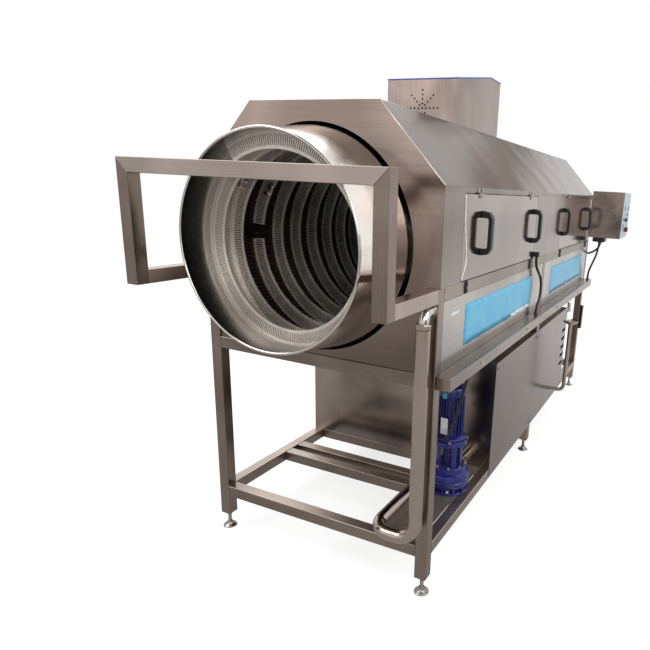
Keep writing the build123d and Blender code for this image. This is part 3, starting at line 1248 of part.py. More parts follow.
def save(name, solids):
    placed = [ORIGIN * solid for solid in solids]
    export_step(placed[0] if len(placed) == 1 else Compound(placed), f"parts/{name}.step")


os.makedirs("parts", exist_ok=True)

for maker in (legs, side_rails, cross_rails, foot_stems, foot_pads, outlet_guard, side_ledge,
              hood_front_plate, hood_rear_plate, hood_roof, hood_side_bands, door_hinges, door_catches,
              tub_trough, tub_side_panels, water_tank, tank_covers, drip_pipe, outlet_collar, drum_shell,
              inlet_ring, drum_flight, riding_rings, ring_gear, drive_pinion, drive_gearmotor,
              drive_rails, top_box, roller_supports, spray_pipe, floor_plate, pump_casing, pump_motor,
              pump_fan_cover, pump_impeller, suction_pipe, delivery_pipe, delivery_elbow, feed_chute,
              cabinet_bracket, cabinet_body, cabinet_door, start_button, stop_button, emergency_stop,
              selector_knob, panel_lamps, cables):
    save(maker.__name__, maker())

for end, y in zip(("front", "rear"), STATION_YS):
    for name, side in (("left", -1), ("right", 1)):
        save(f"roller_{end}_{name}", roller(y, side))

for end in ("front", "rear"):
    door = door_right_front()
    grips = handles_right_front()
    if end == "rear":
        door = mirrored_door(door)
        grips = [mirrored_door(grip) for grip in grips]
    save(f"door_{end}_right", [door])
    save(f"door_{end}_left", [mirror(door, about=Plane.YZ)])
    save(f"handles_{end}_right", grips)
    save(f"handles_{end}_left", [mirror(grip, about=Plane.YZ) for grip in grips])
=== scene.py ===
import math
import random

import bmesh
import bpy
from mathutils import Matrix, Vector


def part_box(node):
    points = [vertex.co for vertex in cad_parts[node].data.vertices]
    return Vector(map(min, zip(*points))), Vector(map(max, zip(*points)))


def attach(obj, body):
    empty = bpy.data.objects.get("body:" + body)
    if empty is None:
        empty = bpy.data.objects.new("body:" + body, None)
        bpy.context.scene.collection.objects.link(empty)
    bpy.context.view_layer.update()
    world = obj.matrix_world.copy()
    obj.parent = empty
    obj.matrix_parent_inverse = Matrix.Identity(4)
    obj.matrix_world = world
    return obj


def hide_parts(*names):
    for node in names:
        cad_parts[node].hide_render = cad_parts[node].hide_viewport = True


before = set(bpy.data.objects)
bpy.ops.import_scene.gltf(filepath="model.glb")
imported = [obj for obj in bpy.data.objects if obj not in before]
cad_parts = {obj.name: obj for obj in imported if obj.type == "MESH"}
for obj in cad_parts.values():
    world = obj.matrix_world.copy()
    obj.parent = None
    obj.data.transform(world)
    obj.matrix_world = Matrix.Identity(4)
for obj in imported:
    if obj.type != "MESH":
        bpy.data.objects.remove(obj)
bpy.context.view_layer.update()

# Places are in millimetres from the middle of the front legs' faces at floor level: X to the pump
# side, Y along the drum towards the feed end, Z up. at() turns them into points of the frame.
MM = 0.001
legs_low, legs_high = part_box("legs")
ORIGIN = Vector(((legs_low.x + legs_high.x) / 2, legs_low.y, 0.0))
ENDS = ("front", "rear")
SIDES = {"left": -1, "right": 1}
UP = (0, 0, 1)
FOUR_CORNERS = ((-1, -1), (1, -1), (1, 1), (-1, 1))

# Square-tube frame
TUBE = 50.0
TUBE_CORNER = 4.0
GUARD_CORNER = 2.0
LEDGE_CORNER = 3.0
HALF = 517.5
INNER = HALF - TUBE
LEG_X = HALF - TUBE / 2
LEG_YS = (0.0, 1452.0, 2861.0)
FRAME_REAR_Y = LEG_YS[2] + TUBE
LEG_BOTTOM = 73.0
RAIL_ZS = (168.0, 864.0, 1174.0)
BASE_RAIL_Z, MID_RAIL_Z, TOP_RAIL_Z = RAIL_ZS
BASE_RAIL_TOP_Z = BASE_RAIL_Z + TUBE
HOOD_BASE_Z = TOP_RAIL_Z + TUBE
TANK_FRONT_Y = 717.0
BASE_CROSS_YS = (LEG_YS[0], 395.0, 490.0, TANK_FRONT_Y, LEG_YS[1], 2290.0, LEG_YS[2])
DRUM_BEAM_YS = (325.0, 2475.0)
DRUM_BEAM_REACH = 489.5
GUARD_FRONT_Y = -358.0
GUARD_TOP_Z = 1600.0
LEDGE_REACH = 575.0
LEDGE_FRONT_Y = 5.0
LEDGE_TOP_Z = MID_RAIL_Z + TUBE
LEDGE_BOLT_YS = (330.0, 1010.0, 1690.0, 2370.0)
WELD_STEP = 2.6
WELD_RADIUS = 1.5

# Levelling feet
PAD_RADIUS = 30.0
PAD_HEIGHT = 26.0
STEM_RADIUS = 8.0
STEM_TOP = 133.0
THREAD_LENGTH = 34.0
THREAD_TURNS = 17.0
THREAD_RIDGE = 0.9
FOOT_NUT_RADIUS = 14.0
FOOT_NUT_HEIGHT = 12.0
FOOT_NUT_Z = 61.0

# Hood and doors
SHEET = 2.0
HOOD_HALF = 519.0
HOOD_FRONT_Y = 8.0
HOOD_REAR_Y = 2881.0
SHOULDER_Z = 1563.0
SHOULDER_FLANGE_Z = 1543.0
ROOF_HALF_WIDTH = 270.0
ROOF_Z = 1824.0
ROOF_FOLD = 7.0
ROOF_SLOT = (31.0, 171.0, 899.0, 1051.0)
SLOT_CUT = 10.0
SLOPE_GLINT = 2.2
ROOF_EDGE = 1.4
EDGE_BEND = 5.0
DOOR_FRONT_Y = 185.0
DOOR_REAR_Y = 1200.0
DOOR_MIRROR_Y = 1500.0
DOOR_BOTTOM_Z = 1227.0
DOOR_TOP_Z = 1541.5
DOOR_DEPTH = 15.0
DOOR_FOLD = 3.0
DOOR_GLINT = 3.4
DOOR_GLINT_BEND = 60.0
# Insets from the door's free edge, and heights, of a pale rod that is a painted reflection
DOOR_GLINT_LINE = ((4.0, DOOR_TOP_Z - 5), (8.0, 1470.0), (18.0, 1415.0), (35.0, 1348.0), (43.0, 1292.0),
                  (24.0, 1262.0), (5.0, DOOR_BOTTOM_Z + 6))
HINGE_X = 523.9
HINGE_Z = 1542.25
HINGE_YS = (335.0, 1050.0)
HINGE_SCREW_OFFSET = 6.0
HINGE_SCREW_Z = DOOR_TOP_Z - 11
KNUCKLE_RADIUS = 4.5
KNUCKLE_HALF = 11.0
LEAF_HEIGHT = 17.0
HANDLE_YS = (381.0, 1139.0)
HANDLE_Z = 1394.0
HANDLE_HALF = 85.5
HANDLE_REACH = 45.0
HANDLE_WIDTH = 30.0
HANDLE_BAR = 17.0
HANDLE_LEG = 27.0
HANDLE_CHAMFER = 14.0
HANDLE_INNER_CHAMFER = HANDLE_CHAMFER * 0.4
HANDLE_SLOPE = 6.0
CATCH_YS = (245.0, 1140.0, 1860.0, 2755.0)
CATCH_SCREW_ZS = (1188.0, 1212.0)
CATCH_REACH = 6.0

# Drum
DRUM_Z = 1345.0
DRUM_SHEET = 3.0
DRUM_RADIUS = 398.0
DRUM_INNER = DRUM_RADIUS - DRUM_SHEET
DRUM_SIDES = 192
LIP_RADIUS = 363.0
LIP_INNER = LIP_RADIUS - DRUM_SHEET
LIP_RISE = 11.0
LIP_FRONT_Y = -258.0
CONE_FRONT_Y = -150.0
SHELL_FRONT_Y = -10.0
DRUM_REAR_Y = 2840.0
RIM_BEAD = 5.0
# Stretches along the drum, in metres of the frame, over which the painted shade inside the lip fades and the
# painted darker reflection on the cone's outside sets in
RIM_SHADE = (-1.73, -1.685)
CONE_SHADE = (-1.645, -1.625)
FLIGHT_START_Y = -198.0
FLIGHT_START_ANGLE = 122.0
FLIGHT_PITCH = 118.0
FLIGHT_HEIGHT = 57.0
FLIGHT_FIT = 0.1
# Degrees of turn from the mouth
FLIGHT_GAP = (1017.3, 1026.7)
FLIGHT_SPLIT = 4500.0
FLIGHT_END = 9085.4
FLIGHT_SLOTS_PER_TURN = 256
FLIGHT_SLOT = (0.46, 0.76)
SLOTTED_FROM_Y = 60.0
SHELL_COLUMNS = 150
SHELL_ROWS = 48
SHELL_SLOT = (0.25, 0.7)
MOUTH_BOLTS = ((-335, 27, 1518), (-322, 27, 1541), (-300, 145, 1526), (-318, 145, 1500))

# Pump
PUMP = (400.0, 467.0)
PUMP_FLOOR_Z = 221.0
PUMP_BASE_TOP_Z = PUMP_FLOOR_Z + 13
VOLUTE_TOP_Z = 322.0
LANTERN_TOP_Z = 473.0
LANTERN_FLANGE = 24.0
LANTERN_FLANGE_RADIUS = 80.0
LANTERN_RIBS_Z = (VOLUTE_TOP_Z + 20, LANTERN_TOP_Z - 20)
# Bars that point away from the pump's axis: where they start and end, width, and heights
VOLUTE_RIB = (60.0, 96.0, 9.0, PUMP_BASE_TOP_Z, PUMP_FLOOR_Z + 92)
VOLUTE_RIB_ANGLES = range(10, 370, 30)
LANTERN_RIB = (44.0, 60.0, 22.0, *LANTERN_RIBS_Z)
LANTERN_RIB_ANGLES = (0, 45, 135, 180, 225, 315)
NAME_PLATE = (59.0, 62.0, 34.0, 507.0, 583.0)
NAME_PLATE_ANGLE = -96
BASE_BOLT_CIRCLE = 78.0
BASE_BOLT_ANGLES = (-67, 23, 83, 113, 203)
VOLUTE_BOLT_CIRCLE = 71.0
LANTERN_BOLT_CIRCLE = 76.0
FIRST_BOLT_ANGLE = 22
SHAFT_RADIUS = 24.0
MOTOR_TOP_Z = 680.0
MOTOR_FLANGE = 24.0
FIN_RADIUS = 53.5
FIN_DEPTH = 13.0
FIN_THICKNESS = 3.6
FIN_COUNT = 24
TERMINAL_Z = 540.0
TERMINAL_HALF = 28.0
TERMINAL_REACH = (44.0, 94.0)
PLUG = (56.0, 67.0, 20.0, MOTOR_TOP_Z - 6, MOTOR_TOP_Z + 22)
PLUG_ANGLE = -99
NOZZLE_X = 310.0
NOZZLE_Z = 281.0
NOZZLE_REACH = 112.0
FLANGE_RADIUS = 45.0
FLANGE_LENGTH = 14.0
FLANGE_BOLT_OFFSET = 38 * 0.7

# Pipes
PIPE_RADIUS = 25.5
PIPE_BEND = 76.0
RISER_Y = -60.0
RISER_TOP_Z = 1095.0
UNION_RADIUS = 29.0
UNION_HEIGHT = 20.0
UNION_EASE = 3.0
ELBOW_RADIUS = 19.0
ELBOW_BEND = 33.0
SPRAY_INLET_Y = -10.0
SPRAY_INLET_Z = 1150.0
SPRAY_INLET_RADIUS = 23.0
DRIP_X = 629.0
DRIP_Y = 1890.0
DRIP_Z = 290.0
DRIP_TOP_Z = 745.0
DRIP_RADIUS = 12.5
DRIP_BEND = 40.0
DRAIN_X = 492.0
DRAIN_Y = 2515.0
DRAIN_INNER_X = 430.0
DRAIN_Z = 790.0
DRAIN_RADIUS = 15.0
DRAIN_BEND = 26.0
DRAIN_NUT_RADIUS = 20.0
DRAIN_NUT_Z = 705.0

# Tank covers
COVER_FRONT_Y = TANK_FRONT_Y
COVER_REAR_Y = 2336.0
COVER_TOP_Z = 768.0
COVER_FOLD = 4.0
COVER_RETURN = 30.0
COVER_GLINT = 1.5
COVER_SCREW_YS = (740.0, 1440.0, 1476.0, 2320.0)
COVER_SCREW_ZS = (200.0, 740.0)
TUB_HALF_WIDTH = 465.0

# Roof box and cabinet
BOX_LEFT_X = -65.0
BOX_RIGHT_X = 268.0
BOX_FRONT_Y = 650.0
BOX_REAR_Y = 1205.0
BOX_BREAK_Y = 1060.0
BOX_FRONT_Z = 2005.0
BOX_REAR_Z = 2080.0
PANEL_X = 757.0
PANEL_SHEET = 1.0
PANEL_MARGIN = (12.0, 10.0)
CABINET_FRONT_Y = 2862.0
CABINET_REAR_Y = 3312.0
CABINET_BOTTOM_Z = 1250.0
CABINET_TOP_Z = 1600.0
FIELD_Y = 110.0
FIELD_WIDTH = 60.0
# Heights above the cabinet's floor, and the fields' own
FIELD_ROWS = ((90.0, 24.0), (140.0, 24.0), (210.0, 40.0))

# Cables
CONDUIT_RADIUS = 7.0
CABLE_RADIUS = 8.0
CONDUIT_BOX = 26.0
SHROUD_Z = 1214.0
SHROUD = (548.0, 642.0, 2890.0, 3016.0)
JUNCTION_BOX = (HALF, HALF + 22.5, 2864.0, 2909.0, 505.0, 695.0)
CONDUIT_ROUTE = [(532, 1220, 1232), (532, 1220, 1190), (537, 1262, 1152), (544, 1312, 1110),
                 (546, 1330, 1050), (545, 1316, 990), (541, 1284, 955), (541, 1284, 926)]
LEDGE_CABLE_ROUTE = [(600, 2920, 1234), (600, 2920, 1185), (592, 2912, 1120), (575, 2900, 1060),
                     (556, 2890, 1005), (546, 2886, 960), (546, 2886, 926)]
LEG_CABLE_ROUTE = [(600, 2990, 1234), (600, 2990, 1192), (582, 2984, 1152), (548, 2974, 1124),
                   (512, 2958, 1112), (492.5, 2935, 1112), (492.5, 2911, 1112)]
PUMP_CABLE_ROUTE = [(323, 439, 540), (323, 405, 540), (343, 376, 518), (384, 366, 494), (420, 372, 502),
                    (440, 382, 546), (456, 390, 615), (471, 395, 690), (486, 395, 760), (500, 395, 815),
                    (500, 395, 864)]

# Film on the tub's side panels
FILM_FACE_X = HALF - 2
FILM_ZS = (967.0, 1131.0)
FILM_CELL = 20.0
FILM_ROWS = 6
FILM_LIFT = 0.4
FILM_RIPPLE = 0.5
FILM_SHEET = 0.3
FILM_TEAR = 2.5
PALE_EDGE_TEAR = 5.0


def at(x, y, z):
    return ORIGIN + Vector((x, y, z)) * MM


def srgb(red, green, blue):
    """Colour as seen on a screen, 0 to 255, as the linear colour that a shader takes."""
    shares = [c / 255 for c in (red, green, blue)]
    return (*(c / 12.92 if c <= 0.04045 else ((c + 0.055) / 1.055) ** 2.4 for c in shares), 1.0)


def shade(colour, factor):
    return (*(min(1.0, c * factor) for c in colour[:3]), 1.0)


# Node graphs

def operator(operation, reflected=False):
    """Operator of a Value, which adds a Math node."""
    def apply(value, other):
        first, second = (other, value) if reflected else (value, other)
        return value.graph.node("ShaderNodeMath", {"operation": operation}, {0: first, 1: second})
    return apply


class Value:
    """Output of a node that takes part in sums as a number does."""

    def __init__(self, graph, socket):
        self.graph = graph
        self.socket = socket

    __add__, __radd__ = operator("ADD"), operator("ADD", reflected=True)
    __sub__, __rsub__ = operator("SUBTRACT"), operator("SUBTRACT", reflected=True)
    __mul__, __rmul__ = operator("MULTIPLY"), operator("MULTIPLY", reflected=True)
    __truediv__, __rtruediv__ = operator("DIVIDE"), operator("DIVIDE", reflected=True)
    __mod__, __rmod__ = operator("MODULO"), operator("MODULO", reflected=True)
    __gt__, __lt__ = operator("GREATER_THAN"), operator("LESS_THAN")

    def maths(self, operation):
        """Function of this value alone."""
        return self.graph.node("ShaderNodeMath", {"operation": operation}, {0: self})


class Graph:
    """Node tree of a material, a world or a geometry group."""

    def __init__(self, tree):
        self.tree = tree

    def node(self, kind, settings=None, sockets=None, out=0):
        """Output of a new node. A list of values all goes to one socket."""
        made = self.tree.nodes.new(kind)
        for key, value in (settings or {}).items():
            setattr(made, key, value)
        for key, value in (sockets or {}).items():
            for item in value if isinstance(value, list) else [value]:
                if isinstance(item, Value):
                    self.tree.links.new(item.socket, made.inputs[key])
                else:
                    made.inputs[key].default_value = item
        return Value(self, made.outputs[out]) if made.outputs else made

    def places(self, scale=(1, 1, 1)):
        """Object coordinates, stretched."""
        spot = self.node("ShaderNodeTexCoord", out="Object")
        return self.node("ShaderNodeMapping", {"vector_type": "POINT"}, {"Vector": spot, "Scale": scale})

    def along(self, axis):
        """Object coordinate on one axis."""
        return self.node("ShaderNodeSeparateXYZ", {}, {"Vector": self.places()}, axis)

    def noise(self, scale, detail=2.0, roughness=0.5, distortion=0.0, stretch=(1, 1, 1)):
        return self.node("ShaderNodeTexNoise", {}, {
            "Vector": self.places(stretch), "Scale": scale, "Detail": detail, "Roughness": roughness,
            "Distortion": distortion})

    def spread(self, value, low, high, to_low=0.0, to_high=1.0):
        return self.node("ShaderNodeMapRange", {"clamp": True}, {
            "Value": value, "From Min": low, "From Max": high, "To Min": to_low, "To Max": to_high})

    def mix(self, share, first, second):
        return self.node("ShaderNodeMix", {"data_type": "RGBA"}, {0: share, 6: first, 7: second}, 2)

    def vector(self, operation, first, second, out="Vector"):
        return self.node("ShaderNodeVectorMath", {"operation": operation}, {0: first, 1: second}, out)

    def facing(self, way):
        """How far a face's normal points one way."""
        normal = self.node("ShaderNodeNewGeometry", out="True Normal")
        return self.vector("DOT_PRODUCT", normal, way, "Value")

    def bump(self, height):
        """Normal bent by a height in metres."""
        return self.node("ShaderNodeBump", {}, {"Strength": 1.0, "Distance": 1.0, "Height": height})


def fresh_graph(owner):
    """Empty graph of a material or a world."""
    owner.use_nodes = True
    owner.node_tree.nodes.clear()
    return Graph(owner.node_tree)


# Finishes

NO_LIGHT = (0, 0, 0, 1)
GRAIN = {"X": (0.012, 1, 1), "Y": (1, 0.012, 1), "Z": (1, 1, 0.012)}
# Heights, in metres of the frame, over which painted shade low on the hood's plates turns into painted light
# higher up
HOOD_HEIGHTS = (1.0, 1.75)
WATER_STAIN = shade(srgb(96, 76, 58), 0.8)
DUST = srgb(132, 124, 122)
SCUFFED_FILM = srgb(160, 200, 220)


def finishing(shader_inputs):
    """Makes a function that gives a principled shader's inputs into one that gives a named material."""
    def finish(name, colour, *values, **options):
        made = bpy.data.materials.new(name)
        g = fresh_graph(made)
        inputs = shader_inputs(g, srgb(*colour), *values, **options)
        g.node("ShaderNodeOutputMaterial", {}, {"Surface": g.node("ShaderNodeBsdfPrincipled", {}, inputs)})
        return made
    return finish


@finishing
def satin_steel(g, base, grain, roughness=0.24, contrast=0.16, wave=0.0, stain=0.0, lift=0.0, lit=UP,
                metal=1.0, clouds=2.6, painted_height_shading=0.0):
    """Rolled sheet or tube: fine grain one way, cloudy tone, slow waves; painted highlight on faces turned
    one way, painted shade low down and painted light higher up.
    """
    fine = g.noise(900.0, detail=3.0, roughness=0.6, stretch=GRAIN[grain])
    broad = g.noise(170.0, stretch=GRAIN[grain])
    cloud = g.noise(clouds, roughness=0.45, distortion=0.6)
    tone = g.spread(0.68 * cloud + 0.12 * broad + 0.2 * fine, 0.38, 0.62)
    body = g.mix(tone, shade(base, 1 - contrast), shade(base, 1 + contrast))
    # Painted shade low down and painted light higher up: darker towards the bottom, lighter towards the top
    if painted_height_shading:
        lower = g.mix(painted_height_shading, body, NO_LIGHT)
        upper = g.mix(tone, base, shade(base, 1 + 2 * painted_height_shading))
        body = g.mix(g.spread(g.along("Z"), *HOOD_HEIGHTS), lower, upper)
    if stain:
        spots = g.spread(g.noise(9.0, detail=5.0, roughness=0.65), 0.56, 0.75)
        body = g.mix(spots * stain, body, WATER_STAIN)
    # Painted highlight: faces turned towards lit get a lighter base colour, as if the light fell on them
    if lift:
        lighter = g.mix(tone, base, shade(base, 1 + lift))
        body = g.mix(g.spread(g.facing(lit), 0.55, 0.9), body, lighter)
    height = fine * 0.000012
    if wave:
        height = height + g.noise(3.1, detail=1.0, roughness=0.4) * wave
    return {"Base Color": body, "Metallic": metal, "Normal": g.bump(height),
            "Roughness": g.spread(0.6 * fine + 0.4 * cloud, 0.3, 0.7, roughness * 0.75, roughness * 1.3)}


@finishing
def turned_steel(g, base, roughness, ring_depth=0.00001, inside_light_share=1.0, cone=0.0):
    """Steel with fine lines round the drum's axis, rougher on the inside, with painted shade there, deepest
    behind the rim, and a painted darker reflection on the cone behind the lip.
    """
    along = g.along("Y")
    rings = g.node("ShaderNodeTexNoise", {"noise_dimensions": "1D"},
                   {"W": along, "Scale": 700.0, "Detail": 3.0, "Roughness": 0.65})
    cloud = g.noise(4.0, detail=3.0, roughness=0.6)
    tone = g.spread(0.5 * rings + 0.5 * cloud, 0.35, 0.65)
    out = g.vector("SUBTRACT", g.places(), at(0, 0, DRUM_Z))
    inside = g.facing(g.vector("MULTIPLY", out, (1, 0, 1))) < 0.0
    # Painted shade on the inside faces, strongest just behind the rim
    shadow = inside * (1 - inside_light_share) * g.spread(along, *RIM_SHADE, 1.0, 0.45)
    # Painted darker reflection on the cone's outside, behind the lip
    shadow = shadow + (1 - inside) * g.spread(along, *CONE_SHADE, 0.0, cone)
    body = g.mix(tone, shade(base, 0.86), shade(base, 1.04))
    return {"Base Color": g.mix(shadow, body, NO_LIGHT), "Metallic": 1.0,
            "Roughness": g.spread(rings, 0.3, 0.7, roughness * 0.7, roughness * 1.4) + 0.12 * inside,
            "Normal": g.bump(rings * ring_depth)}


@finishing
def polished_steel(g, base, roughness=0.08):
    """Bright pipe or fitting with a slight haze."""
    cloud = g.noise(14.0, detail=4.0, roughness=0.6)
    haze = g.noise(160.0)
    return {"Base Color": g.mix(cloud, shade(base, 0.88), shade(base, 1.08)), "Metallic": 1.0,
            "Roughness": g.spread(haze, 0.3, 0.75, roughness * 0.6, roughness * 1.6),
            "Normal": g.bump(cloud * 0.0002)}


@finishing
def machined_steel(g, base, roughness):
    """Plated or cut steel with grime in patches."""
    grime = g.spread(g.noise(22.0, detail=4.0, roughness=0.6), 0.42, 0.72)
    fine = g.noise(500.0)
    return {"Base Color": g.mix(grime, base, shade(base, 0.55)), "Metallic": 1.0,
            "Roughness": g.spread(grime + 0.3 * fine, 0.0, 1.3, roughness * 0.8, roughness * 1.5),
            "Normal": g.bump(fine * 0.00002)}


@finishing
def enamel(g, base, roughness=0.32, wear=0.25):
    """Sprayed paint with orange peel and dusty patches."""
    dust = g.spread(g.noise(16.0, detail=5.0, roughness=0.65), 0.5, 0.8)
    peel = g.noise(420.0, detail=1.0, roughness=0.4)
    tone = g.mix(g.noise(30.0, detail=3.0, roughness=0.6), shade(base, 0.82), shade(base, 1.18))
    return {"Base Color": g.mix(dust * wear, tone, DUST), "Metallic": 0.0,
            "Roughness": g.spread(dust, 0.0, 1.0, roughness, roughness + 0.3),
            "Normal": g.bump(peel * 0.00006)}


@finishing
def moulded(g, base, roughness=0.42, texture=0.00004):
    """Moulded plastic or rubber with a fine grained skin."""
    grain = g.noise(1300.0)
    rub = g.spread(g.noise(24.0, detail=4.0, roughness=0.6), 0.45, 0.75)
    return {"Base Color": g.mix(rub, shade(base, 0.85), shade(base, 1.25)), "Metallic": 0.0,
            "Roughness": g.spread(rub + 0.2 * grain, 0.0, 1.2, roughness * 0.85, roughness * 1.25),
            "Normal": g.bump(grain * texture)}


@finishing
def blue_film(g, deep, pale):
    """Peelable film over the sheet: mottled, with bubbles and creases."""
    blotch = g.spread(g.noise(11.0, detail=5.0, roughness=0.62, distortion=0.6), 0.36, 0.7)
    scuff = g.spread(g.noise(70.0, detail=4.0, roughness=0.7, stretch=(1, 0.3, 1)), 0.55, 0.8)
    crease = g.noise(30.0, detail=3.0, roughness=0.6, distortion=1.2, stretch=(1, 0.5, 1.4))
    return {"Base Color": g.mix(0.7 * scuff, g.mix(blotch, deep, srgb(*pale)), SCUFFED_FILM),
            "Metallic": 0.0, "Coat Weight": 0.25 * (1 - scuff),
            "Roughness": g.spread(blotch, 0.0, 1.0, 0.3, 0.5), "Normal": g.bump(crease * 0.0006)}


SMOOTH_SKIN = 0.00001
TO_THE_FRONT = (0, -1, 0)
LEG_STEEL = satin_steel("leg_steel", (144, 132, 123), "Z", 0.28, 0.18)
# Painted highlight on the tops of the rails, cross rails and guard bar
RAIL_STEEL = satin_steel("rail_steel", (152, 141, 132), "Y", 0.32, 0.18, lift=0.6)
CROSS_STEEL = satin_steel("cross_rail_steel", (138, 127, 118), "X", 0.34, 0.22, lift=1.0)
LEDGE_STEEL = satin_steel("ledge_steel", (148, 139, 131), "Y", 0.26, 0.2)
GUARD_STEEL = satin_steel("guard_steel", (166, 153, 145), "X", 0.24, 0.2, lift=0.4)
# Painted shade: the guard's posts are a darker copy of the guard bar's steel
SHADED_POST_STEEL = satin_steel("guard_post_steel", (130, 117, 110), "Z", 0.24, 0.26)
# Painted shade on the lower part of the hood's end plates, painted light on the upper part
PLATE_STEEL = satin_steel("end_plate_steel", (148, 132, 123), "X", 0.18, 0.2, wave=0.0018, painted_height_shading=0.32)
ROOF_STEEL = satin_steel("roof_steel", (128, 117, 109), "Y", 0.2, 0.26, wave=0.006, clouds=1.7)
DOOR_STEEL = satin_steel("door_steel", (158, 149, 142), "Y", 0.12, 0.1, wave=0.0005)
BAND_STEEL = satin_steel("band_steel", (139, 131, 125), "Z", 0.16, 0.14, wave=0.0012)
PANEL_STEEL = satin_steel("panel_steel", (174, 169, 164), "Y", 0.18, 0.18, wave=0.0012)
# Painted highlight on the faces to the front of the roof box and the tank covers
BOX_STEEL = satin_steel("roof_box_steel", (146, 131, 124), "Z", 0.18, 0.18, wave=0.007, lift=0.85,
                        lit=TO_THE_FRONT, clouds=4.0)
TANK_STEEL = satin_steel("tank_steel", (150, 139, 130), "X", 0.2, 0.16, wave=0.003, stain=0.12)
COVER_STEEL = satin_steel("cover_steel", (117, 108, 102), "Y", 0.22, 0.16, wave=0.003, lift=1.15,
                          lit=TO_THE_FRONT)
TUB_STEEL = satin_steel("tub_steel", (158, 149, 141), "Y", 0.32, 0.16, wave=0.001, stain=0.15, metal=0.8)
FLOOR_STEEL = satin_steel("floor_plate_steel", (128, 121, 110), "Y", 0.34, 0.26, wave=0.001, stain=0.4,
                          metal=0.6)
CABINET_STEEL = satin_steel("cabinet_steel", (157, 142, 133), "X", 0.18, 0.34, wave=0.004, clouds=6.0)
# Painted shade inside the collar and a painted darker reflection on its cone
COLLAR_STEEL = turned_steel("collar_steel", (246, 240, 234), 0.1, 0.00012, inside_light_share=0.24, cone=0.24)
FLIGHT_STEEL = satin_steel("flight_steel", (230, 221, 211), "Z", 0.42, 0.3, stain=0.25, metal=0.55)
# Painted shade: a near-black base colour for the drum's inside, on the slotted shell and the inlet ring
SHADED_SHELL_STEEL = turned_steel("shell_steel", (58, 49, 42), 0.45, 0.00002)
PIPE_STEEL = polished_steel("pipe_steel", (178, 164, 154), 0.12)
CHROME = polished_steel("elbow_chrome", (208, 202, 197), 0.07)
# Painted highlight: bright steel for the beads along the slopes' folds
EDGE_GLINT_STEEL = polished_steel("bright_edge", (238, 235, 231), 0.2)
ZINC = machined_steel("zinc", (168, 164, 158), 0.3)
GEAR = machined_steel("gear_steel", (104, 99, 94), 0.36)
NAVY = enamel("pump_navy", (34, 37, 108), 0.24, wear=0.18)
DRIVE_GREY = enamel("drive_grey", (92, 104, 112), 0.4, wear=0.3)
RUBBER = moulded("grip_rubber", (27, 27, 26), 0.42)
CABLE = moulded("cable_rubber", (22, 21, 21), 0.5)
BLACK = moulded("black_plastic", (24, 24, 25), 0.36)
NYLON = moulded("roller_nylon", (196, 192, 180), 0.46)
GREEN = moulded("green_button", (24, 64, 58), 0.28, SMOOTH_SKIN)
RED = moulded("red_button", (126, 26, 30), 0.28, SMOOTH_SKIN)
LAMP = moulded("lamp_plastic", (206, 214, 214), 0.2, SMOOTH_SKIN)
CYAN = moulded("cyan_cap", (66, 176, 190), 0.35)
PLATE_WHITE = moulded("blank_plate", (226, 226, 224), 0.4, SMOOTH_SKIN)
# Painted reflection: the pale rods near the doors' free edges
GLINT_WHITE = moulded("pale_trim", (238, 236, 232), 0.3, SMOOTH_SKIN)
PANEL_BLUE = moulded("panel_overlay", (176, 204, 222), 0.35, SMOOTH_SKIN)
INK = moulded("panel_ink", (32, 42, 92), 0.4, SMOOTH_SKIN)
FILM = blue_film("sky_film", (30, 166, 216), (98, 188, 218))
PALE_FILM = blue_film("pale_film", (206, 220, 228), (238, 241, 243))
EDGE_FILM = blue_film("edge_film", (58, 84, 188), (96, 122, 206))


# Mesh building, in machine millimetres

def put(name, data):
    """New object of the scene."""
    obj = bpy.data.objects.new(name, data)
    bpy.context.scene.collection.objects.link(obj)
    return obj


def mesh_of(bm, name):
    """Mesh made of a bmesh, which is given up."""
    mesh = bpy.data.meshes.new(name)
    bm.to_mesh(mesh)
    bm.free()
    return mesh


def evaluated_mesh(obj):
    """Plain mesh of an object with its modifiers."""
    bpy.context.view_layer.update()
    return bpy.data.meshes.new_from_object(obj.evaluated_get(bpy.context.evaluated_depsgraph_get()))


def add_box(bm, x0, x1, y0, y1, z0, z1):
    corners = [bm.verts.new(at(x, y, z)) for x in (x0, x1) for y in (y0, y1) for z in (z0, z1)]
    for ids in ((0, 1, 3, 2), (4, 6, 7, 5), (0, 4, 5, 1), (2, 3, 7, 6), (0, 2, 6, 4), (1, 5, 7, 3)):
        bm.faces.new([corners[i] for i in ids])


def add_prism(bm, outline, place, start, end):
    """Prism between two ends, where place(a, b, along) turns outline points into the machine's."""
    rows = [[bm.verts.new(at(*place(a, b, along))) for a, b in outline] for along in (start, end)]
    bm.faces.new(rows[0])
    bm.faces.new(rows[1][::-1])
    for i in range(len(outline)):
        j = (i + 1) % len(outline)
        bm.faces.new((rows[0][i], rows[0][j], rows[1][j], rows[1][i]))


def along_y(x, z, y):
    return x, y, z


def along_z(x, y, z):
    return x, y, z


TURN = {"Y": lambda r, a, h: (r * math.cos(a), h, r * math.sin(a)),
        "Z": lambda r, a, h: (r * math.cos(a), r * math.sin(a), h)}


def add_turned(bm, profile, base, axis="Z", sides=48, closed=False):
    """Shape turned from (radius, along) points about an axis through base."""
    rings = []
    for radius, along in profile:
        count = sides if radius > 0 else 1
        spots = [TURN[axis](radius, 2 * math.pi * k / sides, along) for k in range(count)]
        rings.append([bm.verts.new(at(*(b + s for b, s in zip(base, spot)))) for spot in spots])
    pairs = list(zip(rings, rings[1:]))
    if closed:
        pairs.append((rings[-1], rings[0]))
    for near, far in pairs:
        for k in range(sides):
            n = (k + 1) % sides
            loop = [near[k % len(near)], near[n % len(near)], far[n % len(far)], far[k % len(far)]]
            bm.faces.new(list(dict.fromkeys(loop)))


